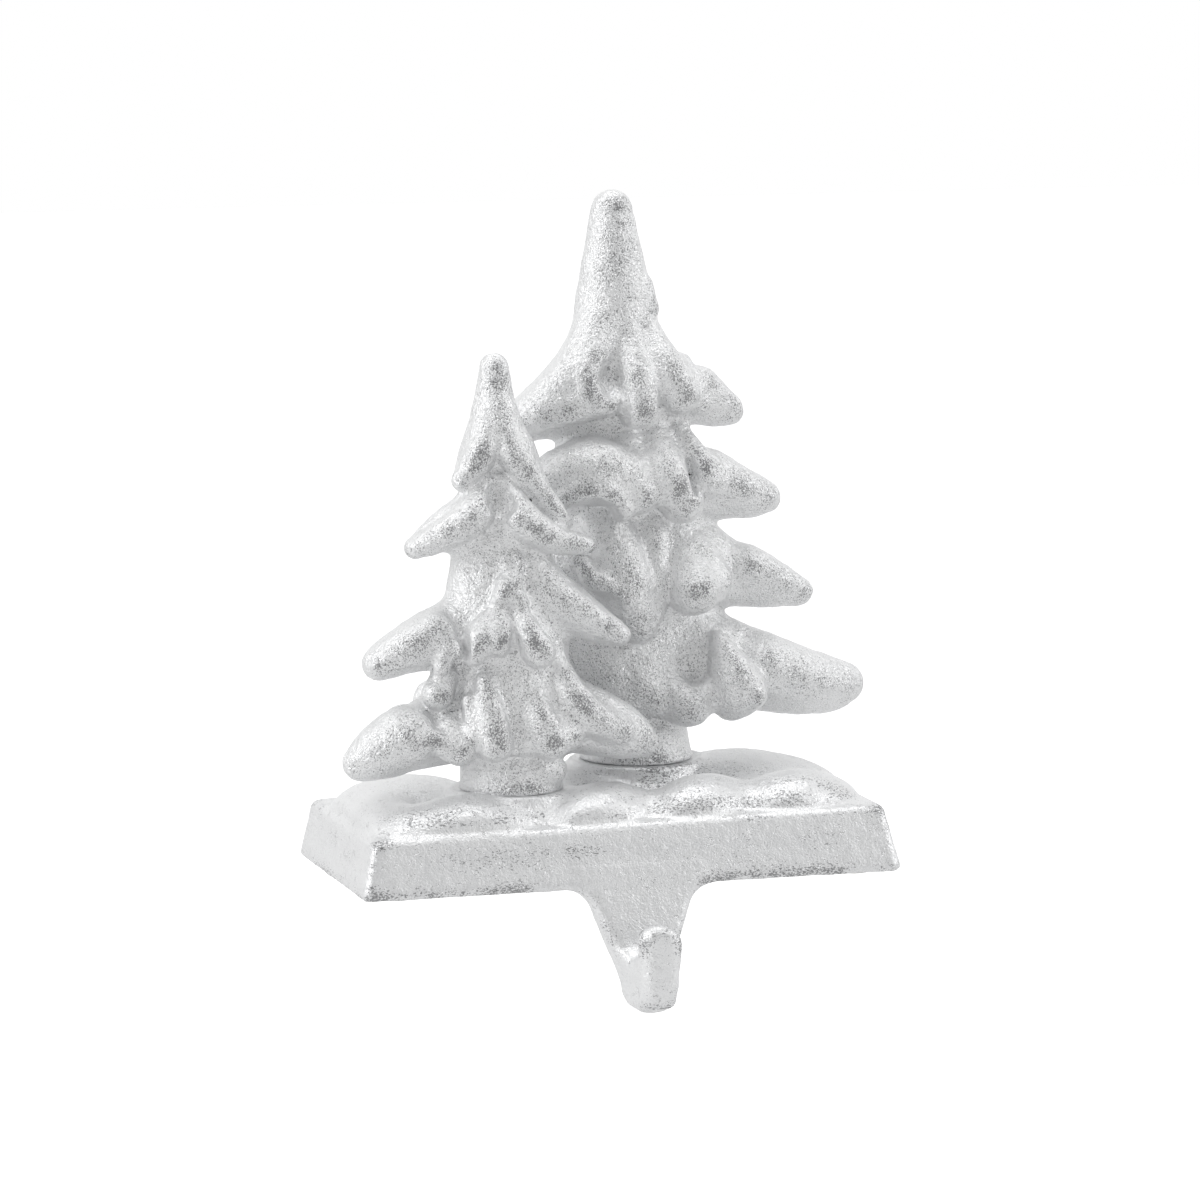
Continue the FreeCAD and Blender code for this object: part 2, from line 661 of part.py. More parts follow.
def add_screw(tree):
    """A slotted pan head screw whose head bears on the boss under the tree."""
    across, back, seat, foot = tree_spots[tree]
    head = n.screw_head_diameter / 2
    shank = n.screw_diameter / 2
    name = tree + "_tree_screw"
    screw = doc.addObject("PartDesign::Body", name)
    profile = add_sketch(screw, name + "_profile", "XZ_Plane")
    add_outline(profile, [
        (0, 0),
        (head - n.screw_head_bevel, 0),
        (head, n.screw_head_bevel),
        (head, n.screw_head_height),
        (shank, n.screw_head_height),
        (shank, n.screw_head_height + n.screw_length - n.screw_tip_bevel),
        (shank - n.screw_tip_bevel, n.screw_head_height + n.screw_length),
        (0, n.screw_head_height + n.screw_length),
    ])
    turned = screw.newObject("PartDesign::Revolution", name + "_turned")
    turned.Profile = profile
    turned.ReferenceAxis = (profile, ["V_Axis"])
    turned.Angle = 360
    doc.recompute()
    check(turned)
    slot = add_sketch(screw, name + "_slot_outline", "XY_Plane")
    half_slot = n.screw_slot_width / 2
    add_outline(slot, [(-head, -half_slot), (head, -half_slot), (head, half_slot), (-head, half_slot)])
    add_feature(screw, "PartDesign::Pocket", name + "_slot", slot, n.screw_slot_depth, backwards=True)
    screw.Label = name
    place(screw, across, back, n.pad_thickness + n.boss_lift - n.screw_head_height)
    return screw


screws = [add_screw(tree) for tree in tree_spots]
pads = []
for name, (across, back) in pad_spots.items():
    pad = add_post(name, across, back, 0.0, n.pad_diameter / 2, n.pad_thickness)
    pad.Label = name
    pads.append(pad)

# Build everything, stop at the first failure, then write one file for each piece
doc.recompute()
for thing in doc.Objects:
    if any(word in thing.State for word in ("Invalid", "Error")):
        raise RuntimeError("%s failed: %s" % (thing.Name, thing.State))
pieces = [base] + trees + screws + pads
for piece in pieces:
    check(piece)
    if len(piece.Shape.Solids) != 1:
        raise RuntimeError("%s is %d solids" % (piece.Label, len(piece.Shape.Solids)))
os.makedirs("parts", exist_ok=True)
for piece in pieces:
    piece.Shape.exportStep("parts/%s.step" % piece.Label)
    print(piece.Label, round(piece.Shape.Volume / 1000, 2), "cm3")
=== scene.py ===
import math

import bpy
import numpy as np
import openvdb
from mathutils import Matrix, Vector


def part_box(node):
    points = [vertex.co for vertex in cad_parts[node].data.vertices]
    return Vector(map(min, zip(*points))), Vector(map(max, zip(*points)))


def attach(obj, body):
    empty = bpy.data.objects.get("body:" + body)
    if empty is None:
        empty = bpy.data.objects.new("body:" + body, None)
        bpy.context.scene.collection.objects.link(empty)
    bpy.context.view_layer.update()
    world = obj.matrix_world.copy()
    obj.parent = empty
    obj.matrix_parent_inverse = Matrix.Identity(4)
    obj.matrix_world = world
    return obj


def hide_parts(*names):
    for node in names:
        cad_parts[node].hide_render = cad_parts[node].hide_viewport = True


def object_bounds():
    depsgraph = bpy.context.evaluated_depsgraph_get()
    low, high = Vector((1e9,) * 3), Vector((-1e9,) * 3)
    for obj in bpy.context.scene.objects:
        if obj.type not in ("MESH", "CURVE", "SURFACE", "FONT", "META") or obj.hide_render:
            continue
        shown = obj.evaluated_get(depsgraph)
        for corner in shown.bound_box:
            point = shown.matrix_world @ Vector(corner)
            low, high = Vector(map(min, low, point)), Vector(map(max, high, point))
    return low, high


# Cast stocking holder for a mantel: snowy base with a J hook and two fir trees.
# Sizes of the pieces are millimetres; mm turns them into Blender's metres.
# x along the shelf, y back towards the wall, z up, origin on the shelf's front top edge.

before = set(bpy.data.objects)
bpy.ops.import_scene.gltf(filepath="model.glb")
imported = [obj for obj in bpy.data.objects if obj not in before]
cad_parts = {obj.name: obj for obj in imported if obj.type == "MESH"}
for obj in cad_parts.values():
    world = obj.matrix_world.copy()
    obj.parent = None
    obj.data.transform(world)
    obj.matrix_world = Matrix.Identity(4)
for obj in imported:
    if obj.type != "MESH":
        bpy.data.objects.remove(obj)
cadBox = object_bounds()
mm = 0.001
crisp = 0.1  # softness where two forms meet in an edge
farAway = 30.0  # distance held by grid points that no form has reached
print("frame loaded:", ", ".join(sorted(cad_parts)))


def middleOf(node):
    # middle of a CAD node's box, in millimetres
    low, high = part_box(node)
    return np.array((low + high) / 2) / mm


smallFoot = np.append(middleOf("small_tree_screw")[:2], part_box("small_tree")[0].z / mm)
largeFoot = np.append(middleOf("large_tree_screw")[:2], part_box("large_tree")[0].z / mm)


# The castings are distance fields: each grid point holds its distance to the nearest
# surface, negative inside, and forms melt into each other over a softness in millimetres.
def makeField(low, high, step):
    low = np.asarray(low, float)
    count = np.ceil((np.asarray(high, float) - low) / step).astype(int) + 1
    return {"low": low, "step": step, "values": np.full(count, farAway, np.float32)}


def window(field, low, high, margin=6.0):
    # the part of the grid that holds a form, as slices and open x, y, z arrays
    count = np.array(field["values"].shape)
    step = field["step"]
    first = np.floor((np.asarray(low) - margin - field["low"]) / step).astype(int)
    last = np.ceil((np.asarray(high) + margin - field["low"]) / step).astype(int) + 1
    first = np.clip(first, 0, count - 2)
    last = np.clip(last, 2, count)
    axes = [field["low"][k] + step * np.arange(first[k], last[k]) for k in range(3)]
    part = tuple(slice(first[k], last[k]) for k in range(3))
    grids = np.meshgrid(*axes, indexing="ij", sparse=True)
    return part, [grid.astype(np.float32) for grid in grids]


def melt(first, second, softness):
    # smooth minimum: the smaller distance, rounded off where the two are within softness
    share = np.clip(0.5 + 0.5 * (second - first) / softness, 0, 1)
    return second + (first - second) * share - softness * share * (1 - share)


def carve(first, second, softness):
    # smooth maximum: what is inside both
    return -melt(-first, -second, softness)


def addForm(field, low, high, distance, softness):
    # joins a form on: smooth minimum of the field and the form's distance
    part, axes = window(field, low, high)
    field["values"][part] = melt(field["values"][part], distance(*axes), softness)


def cutForm(field, low, high, distance, softness):
    # takes a form away: smooth maximum of the field and minus the form's distance
    part, axes = window(field, low, high)
    field["values"][part] = carve(field["values"][part], -distance(*axes), softness)


def smoothRows(rows, pieces=6):
    # Catmull-Rom curve through the rows: each stretch is the usual cubic of four neighbours
    rows = np.asarray(rows, float)
    ends = np.vstack([2 * rows[0] - rows[1], rows, 2 * rows[-1] - rows[-2]])
    share = (np.arange(pieces) / pieces)[None, :, None]
    before, here, there, after = (ends[k:len(ends) - 3 + k, None, :] for k in range(4))
    curve = 0.5 * (2 * here + (there - before) * share
                   + (2 * before - 5 * here + 4 * there - after) * share ** 2
                   + (3 * here - before - 3 * there + after) * share ** 3)
    return np.vstack([curve.reshape(-1, rows.shape[1]), rows[-1]])


def addStem(field, foot, rows, softness):
    # stem: at each height an ellipse of the interpolated half width and half depth
    rows = smoothRows(rows)
    height, offset, halfWidth, halfDepth = rows.T
    top = height[-1]

    def distance(x, y, z):
        level = np.clip(z - foot[2], 0, top)
        middle, wide, deep = (np.interp(level, height, row).astype(np.float32)
                              for row in (offset, halfWidth, halfDepth))
        across = (x - foot[0] - middle) / wide
        back = (y - foot[1]) / deep
        radial = np.sqrt(across ** 2 + back ** 2 + 1e-9)
        side = (radial - 1) * np.minimum(wide, deep)
        over = np.maximum(z - foot[2] - top, 0)
        cap = np.sqrt((np.maximum(side + deep, 0)) ** 2 + over ** 2) - deep
        body = np.where(over > 0, cap, side)
        return np.maximum(body, foot[2] - z)

    reach = max(halfWidth.max(), halfDepth.max())
    sway = 8.0  # room for the stem's offsets
    low = foot + np.array((-reach - sway, -reach - 2, -1))
    high = foot + np.array((reach + sway, reach + 2, top + reach))
    addForm(field, low, high, distance, softness)


def addBough(field, foot, nodes, softness, flat=1.0):
    # bough: round-cone links along a smooth line; flat squashes it front to back
    nodes = np.asarray(nodes, float)
    points = smoothRows(nodes, 5) if len(nodes) > 2 else nodes
    spots = points[:, :3] + foot
    radii = points[:, 3]

    def distance(x, y, z):
        nearest = None
        for start, end, first, last in zip(spots[:-1], spots[1:], radii[:-1], radii[1:]):
            run = end - start
            stretch = np.array((run[0], run[1] / flat, run[2]))
            size = stretch @ stretch + 1e-9
            gaps = (x - start[0], (y - start[1]) / flat, z - start[2])
            along = np.clip(sum(gap * part for gap, part in zip(gaps, stretch)) / size, 0, 1)
            length = np.sqrt(sum((gap - along * part) ** 2 for gap, part in zip(gaps, stretch)))
            link = length - (first + (last - first) * along)
            nearest = link if nearest is None else np.minimum(nearest, link)
        return nearest.astype(np.float32)

    reach = radii.max()
    addForm(field, spots.min(0) - reach, spots.max(0) + reach, distance, softness)


def lobeDistance(middle, half, turn=0.0):
    # ellipsoid: distance from the middle in half sizes, less one, over its slope;
    # turn is in degrees about the upright through its middle
    cosine, sine = math.cos(math.radians(turn)), math.sin(math.radians(turn))

    def distance(x, y, z):
        right, back = x - middle[0], y - middle[1]
        parts = [(right * cosine + back * sine) / half[0], (back * cosine - right * sine) / half[1],
                 (z - middle[2]) / half[2]]
        radial = np.sqrt(sum(part ** 2 for part in parts)) + 1e-6
        slope = np.sqrt(sum((part / size) ** 2 for part, size in zip(parts, half)))
        return radial * (radial - 1) / (slope + 1e-6)

    return distance


def addHollow(field, foot, row, softness):
    # a small dent the shape of an ellipsoid
    middle, half = foot + np.array(row[:3]), row[3:]
    reach = max(half)
    cutForm(field, middle - reach, middle + reach, lobeDistance(middle, half), softness)


def soften(values, passes):
    # weights 1, 2, 1 over neighbours along each axis, as thick paint rounds a casting
    for _ in range(passes):
        for axis in range(3):
            padded = np.concatenate([values.take([0], axis), values, values.take([-1], axis)], axis)
            count = values.shape[axis]
            middle = padded.take(range(1, count + 1), axis)
            values = (padded.take(range(0, count), axis) + 2 * middle
                      + padded.take(range(2, count + 2), axis)) / 4
    return values


def sample(values, points):
    # trilinear reading of a grid at points given in cells
    count = np.array(values.shape)
    cell = np.clip(np.floor(points).astype(int), 0, count - 2)
    share = np.clip(points - cell, 0, 1)
    total = 0
    for corner in np.ndindex(2, 2, 2):
        weight = np.prod(np.where(corner, share, 1 - share), axis=1)
        total = total + weight * values[tuple((cell + corner).T)]
    return total


hashFactors = (73856093, 19349663, 83492791)  # large odd numbers, which mix a cell's indices
seedFactor = 2654435761
stirFactor = 1274126177


def lumps(points, size, seed):
    # smooth random heights, -1 to 1: a lattice of hashed values read between its corners
    spots = points / size
    cell = np.floor(spots).astype(np.int64)
    share = spots - cell
    share = share * share * (3 - 2 * share)
    total = 0
    for corner in np.ndindex(2, 2, 2):
        spot = (cell + corner) * hashFactors
        mixed = spot[:, 0] ^ spot[:, 1] ^ spot[:, 2] ^ (seed * seedFactor)
        mixed = (mixed ^ (mixed >> 13)) * stirFactor
        value = ((mixed ^ (mixed >> 16)) & 65535) / 32767.5 - 1
        weight = np.prod(np.where(corner, share, 1 - share), axis=1)
        total = total + weight * value
    return total


brush = {
    "blur": 3,  # passes before the form is read
    "turnFrom": 0.3,  # front part of the normal at which a face begins to get painted shade, darker silver
    "turnPower": 1.3,
    "under": 0.6,  # how much less of that painted shade a face gets as it turns down
    "proudRange": 0.1,
    "edgeRange": 0.06,
    "edgeMost": 0.9,
    "slope": 1.6,  # how fast the snow's front slopes gain silver, which is painted shade there
    "slopeRise": 0.8,  # height over which that sets in
    "creaseFrom": 0.1,
    "creaseRange": 0.12,
    "lumpRise": 1.5,  # height over which the lumps set in above a foot
}


def brushAndFrontShade(points, normal, raised, grain):
    # how much silver: a front face gets a share, what stands forward gets the rest, sharp edges get
    # nearly all, and the snow's front slopes their own share. The brush left the silver on what
    # stands forward and on the edges; the share by turn to the front is painted shade, a darker
    # silver for the dim reflection that front faces catch
    # painted shade: faces turned to the front get darker silver, a painted reflection of the dim front
    front = np.clip((np.abs(normal[:, 1]) - brush["turnFrom"]) / (1 - brush["turnFrom"]), 0, 1)
    frontShade = front ** brush["turnPower"] * (1 - brush["under"] * np.clip(-normal[:, 2], 0, 1))
    frontShade = 1 - grain["frontShade"] * (1 - frontShade)
    proud = np.clip((raised - grain["proudFrom"]) / brush["proudRange"], 0, 1)
    edge = np.clip((raised - grain["edgeFrom"]) / brush["edgeRange"], 0, 1)
    brushedAndFrontShade = frontShade * (grain["flat"] + (1 - grain["flat"]) * proud)
    brushedAndFrontShade = np.maximum(brushedAndFrontShade, brush["edgeMost"] * edge)
    if "snow" in grain:
        # painted shade: the snow's front slopes get darker silver too
        slope = np.clip(-brush["slope"] * normal[:, 1], 0, 1)
        rise = np.clip((points[:, 2] - grain["snowFrom"]) / brush["slopeRise"], 0, 1)
        brushedAndFrontShade = np.maximum(brushedAndFrontShade, grain["snow"] * slope * rise)
    return brushedAndFrontShade


def addObject(name, data):
    # an object in the scene that shows this mesh, lamp or camera
    thing = bpy.data.objects.new(name, data)
    bpy.context.scene.collection.objects.link(thing)
    return thing


def addMark(mesh, name, values):
    # one value a point, which the material reads by name
    mark = mesh.attributes.new(name, "FLOAT", "POINT")
    mark.data.foreach_set("value", values.astype(np.float32))


def meshField(field, name, grain, keepLow=None):
    # surface of a field as a mesh. raised is the mean distance a reach away, less the
    # distance on the surface, over the reach: positive on ridges, negative in creases.
    # Lumps push each point along its normal, apart from the flat foot at keepLow.
    grid = openvdb.FloatGrid()
    grid.copyFromArray(np.ascontiguousarray(field["values"]))
    cells, triangles, quads = grid.convertToPolygons(isovalue=0.0, adaptivity=0.0)
    cells = np.asarray(cells, float)
    quads = np.asarray(quads, int)
    triangles = np.asarray(triangles, int)
    blurred = soften(field["values"], brush["blur"])
    offsets = np.vstack([np.eye(3), -np.eye(3)]) * (grain["reach"] / field["step"])
    around = sum(sample(blurred, cells + offset) for offset in offsets) / len(offsets)
    raised = (around - sample(blurred, cells)) / grain["reach"]
    rises = [sample(blurred, cells + axis) - sample(blurred, cells - axis) for axis in np.eye(3)]
    normal = np.stack(rises, 1)
    normal /= np.linalg.norm(normal, axis=1, keepdims=True) + 1e-9
    points = field["low"] + cells * field["step"]
    brushedAndFrontShade = brushAndFrontShade(points, normal, raised, grain)
    crease = np.clip((-raised - brush["creaseFrom"]) / brush["creaseRange"], 0, 1)
    height = sum(depth * lumps(points, size, seed) for size, depth, seed in grain["lumps"])
    if keepLow is not None:
        height = height * np.clip((points[:, 2] - keepLow) / brush["lumpRise"], 0, 1)
    points = points + normal * height[:, None]
    first, second, third = (points[quads[:, corner]] for corner in range(3))
    outward = np.cross(second - first, third - first) * normal[quads[:, 0]]
    if outward.sum() < 0:
        quads, triangles = quads[:, ::-1], triangles[:, ::-1]
    mesh = bpy.data.meshes.new(name)
    mesh.from_pydata((points * mm).tolist(), [], quads.tolist() + triangles.tolist())
    mesh.validate()
    mesh.shade_smooth()
    # this mark holds brushed silver and the painted front shade together
    addMark(mesh, "brushedAndFrontShade", brushedAndFrontShade)
    addMark(mesh, "crease", crease)
    print(name, len(points), "points,", 2 * len(quads) + len(triangles), "triangles")
    return addObject(name, mesh)


# Small tree. Stem rows: height, offset right, half width, half depth. Boughs and ribs are
# lines of points: right, back, height, radius, all from the middle of the trunk's foot.
smallTree = {
    "foot": smallFoot,
    "step": 0.55,
    "stem": [
        (0, 0, 11.8, 11.8), (5, 0, 11.6, 11), (8.5, -0.3, 12.6, 10.6), (11, -0.5, 13.8, 12.4),
        (20, -0.8, 15.5, 11.8), (28, -1.1, 14.7, 10.6), (33.5, -1.3, 14.3, 11.2),
        (42, -1.8, 13.5, 10.2), (53, -2.2, 11.6, 7.6), (58, -2.4, 10.6, 7.8), (63, -2.6, 9.4, 6.2),
        (69, -2.8, 7.8, 4.4), (76, -3.2, 7.4, 4.8), (84, -3.6, 5.5, 4.8), (92, -3.7, 3.9, 3.8),
        (95.4, -3.8, 3.3, 3.3),
    ],
    "boughs": {
        "capLeft": ((-4.5, -1, 84, 4), (-8, -1.5, 77, 4), (-11.3, -1.5, 71, 2.6)),
        "capRight": ((-3, -2, 84, 3.6), (1.6, -3, 76, 3.8), (4.2, -3.5, 70.3, 2.6)),
        "capLow": ((4, -2, 68, 3), (8.5, -2.5, 63.3, 2.6)),
        "twoLeft": ((-7, 0, 62, 7), (-15, -0.5, 59.2, 4.8), (-22.6, -1, 56, 2.2)),
        "twoRight": ((-1, -4, 60, 5.5), (6, -6, 57.5, 3.4), (16, -5, 55.4, 1.7)),
        "threeLeft": ((-12, 0, 36, 8.2), (-22, -1, 33.8, 6.2), (-28.5, -1.5, 31.4, 4.6),
                      (-32.3, -2, 30.2, 2.7)),
        "threeRight": ((4, -2, 45, 7.5), (12, -3, 41, 5.8), (20, -4, 36.3, 3.8), (25, -4, 34.2, 2)),
        "fourLeft": ((-12, 0, 15.5, 9), (-22, -1, 13, 7.6), (-30, -1.5, 10, 6), (-34.4, -2, 7.9, 4)),
        "fourRight": ((6, -2, 18, 9), (16, -3, 15.5, 8), (25, -4, 12, 6), (29.3, -4, 10, 3.9)),
        "backHigh": ((-3, 5, 56, 5), (-4, 9.5, 48, 3.6)),
        "backLeft": ((-6, 6, 42, 6), (-12, 11, 33, 4)),
        "backRight": ((2, 6, 41, 6), (8, 11, 32, 4)),
        "backLow": ((-3, 7, 21, 6.5), (-5, 12, 12, 4.2)),
    },
    "ribs": {
        "capLegLeft": ((-4.6, -1.8, 87, 2.8), (-7.2, -4, 79.6, 3.3), (-9.4, -4.9, 75.2, 3.3),
                       (-12.4, -4.8, 71, 2.7)),
        "capLegRight": ((-4.2, -2, 87, 2.6), (-2.4, -4.2, 80, 3.2), (0.4, -5.4, 74.4, 3.5),
                        (4.4, -5.2, 69.4, 2.8)),
        "capDrop": ((5, -4, 68.4, 2.4), (8.2, -5, 64.1, 2.5), (10.4, -5, 61.4, 1.9)),
        "twoLegLeft": ((-5.6, -4.4, 68, 3.8), (-12.4, -7.6, 62.2, 4.3), (-18.6, -5.8, 58.3, 3.4),
                       (-23, -3.2, 55.9, 2.5)),
        "twoLegRight": ((-3.6, -4.6, 68, 3.6), (0.8, -8.4, 61.8, 4), (6.7, -8.4, 57.8, 3.3),
                        (13.3, -6.6, 55.8, 2.3), (16.4, -5.8, 55.2, 1.7)),
        "threeLeftFront": ((-19.8, -5, 36.4, 5.2), (-25.6, -4.6, 33.4, 4.9), (-31.4, -3, 30, 3.7)),
        "threeLeftFold": ((-19.6, -6.8, 39.8, 1.7), (-17.8, -7.8, 38.4, 2), (-17.4, -8.4, 34, 2.2),
                          (-18.4, -8, 29.6, 2)),
        "threeRightTop": ((2.4, -3.6, 50.6, 5.2), (9.4, -6.2, 43.6, 4.6), (16.6, -6.2, 38.9, 3.6),
                          (24, -5.4, 34.6, 2.3)),
        "fourLeftFront": ((-26, -5, 13.6, 7.4), (-31.4, -3.8, 10.8, 6.2), (-35.9, -2.8, 8, 4.1)),
        "fourLeftFold": ((-23.6, -10, 13, 2.3), (-20.6, -10.4, 13.6, 2.4), (-18.2, -10.2, 11.6, 2.6)),
        "fourRightTop": ((8.6, -6, 29.4, 2.6), (11.5, -9.4, 22.7, 3.4), (16, -9.8, 16.8, 3.9),
                         (23, -8.2, 13.4, 3.5)),
        "budLeft": ((-7.4, -9.4, 40.6, 2), (-9.9, -10.8, 36.6, 3.7), (-12.2, -11, 33.8, 4)),
        "budLeftRim": ((-5.6, -9.6, 42, 1.5), (-5.2, -11.2, 38, 2.2), (-6, -11.6, 34.4, 2.5)),
        "budRight": ((-0.6, -10, 41, 1.8), (1, -11.8, 36.2, 3.3), (3.2, -12, 32.6, 3.7)),
        "ribKnob": ((-2, -8.8, 52.6, 2.5), (-2.3, -9.6, 49.4, 2.2)),
        "ribForkLeft": ((-3.7, -9.6, 47.3, 2.6), (-5.2, -10, 44.6, 1.8)),
        "ribForkRight": ((-3.4, -9.6, 47.3, 2.2), (-0.8, -10.2, 44, 1.8)),
        "lowKnob": ((-17, -5, 27, 3), (-19, -6.6, 23.4, 3.6)),
        "lowBud": ((-16.6, -7.8, 16, 2.6), (-14.8, -9.8, 11.2, 3.8)),
        "lowRib": ((-8.9, -9.6, 26, 2), (-8.4, -11.4, 19.2, 3.4), (-7.2, -12.2, 12.2, 4)),
        "lowRibLeft": ((-12.4, -9.4, 21.6, 1.8), (-11.8, -11, 14.8, 2.3)),
        "lowLobe": ((2.2, -9, 22.8, 2.2), (3.8, -11.2, 16.6, 3.9), (5.8, -11.6, 12.2, 4.3)),
        "lowLobeRight": ((8.6, -8.8, 19.4, 2.2), (10, -10.2, 13.2, 3.8)),
        "trunkKnob": ((5, -8, 5.4, 3.4), (7.4, -7.4, 5, 3.4)),
    },
    "hollows": {  # small dents: right, back, height, half width, half depth, half height
        "capArch": (-4.6, -9.2, 67.6, 3.6, 4, 5.2),
        "twoArch": (-3, -12.2, 54.2, 3.8, 3.8, 5.4),
        "budGap": (-2.6, -14.2, 33, 1.2, 3.2, 4),
        "leafGap": (-14.2, -12.2, 34.6, 1, 3.2, 4.4),
    },
    "boughFlat": 0.9,
    "boughSoftness": 2.4,
    "ribSoftness": 1.5,
    "hollowSoftness": 1.3,
}

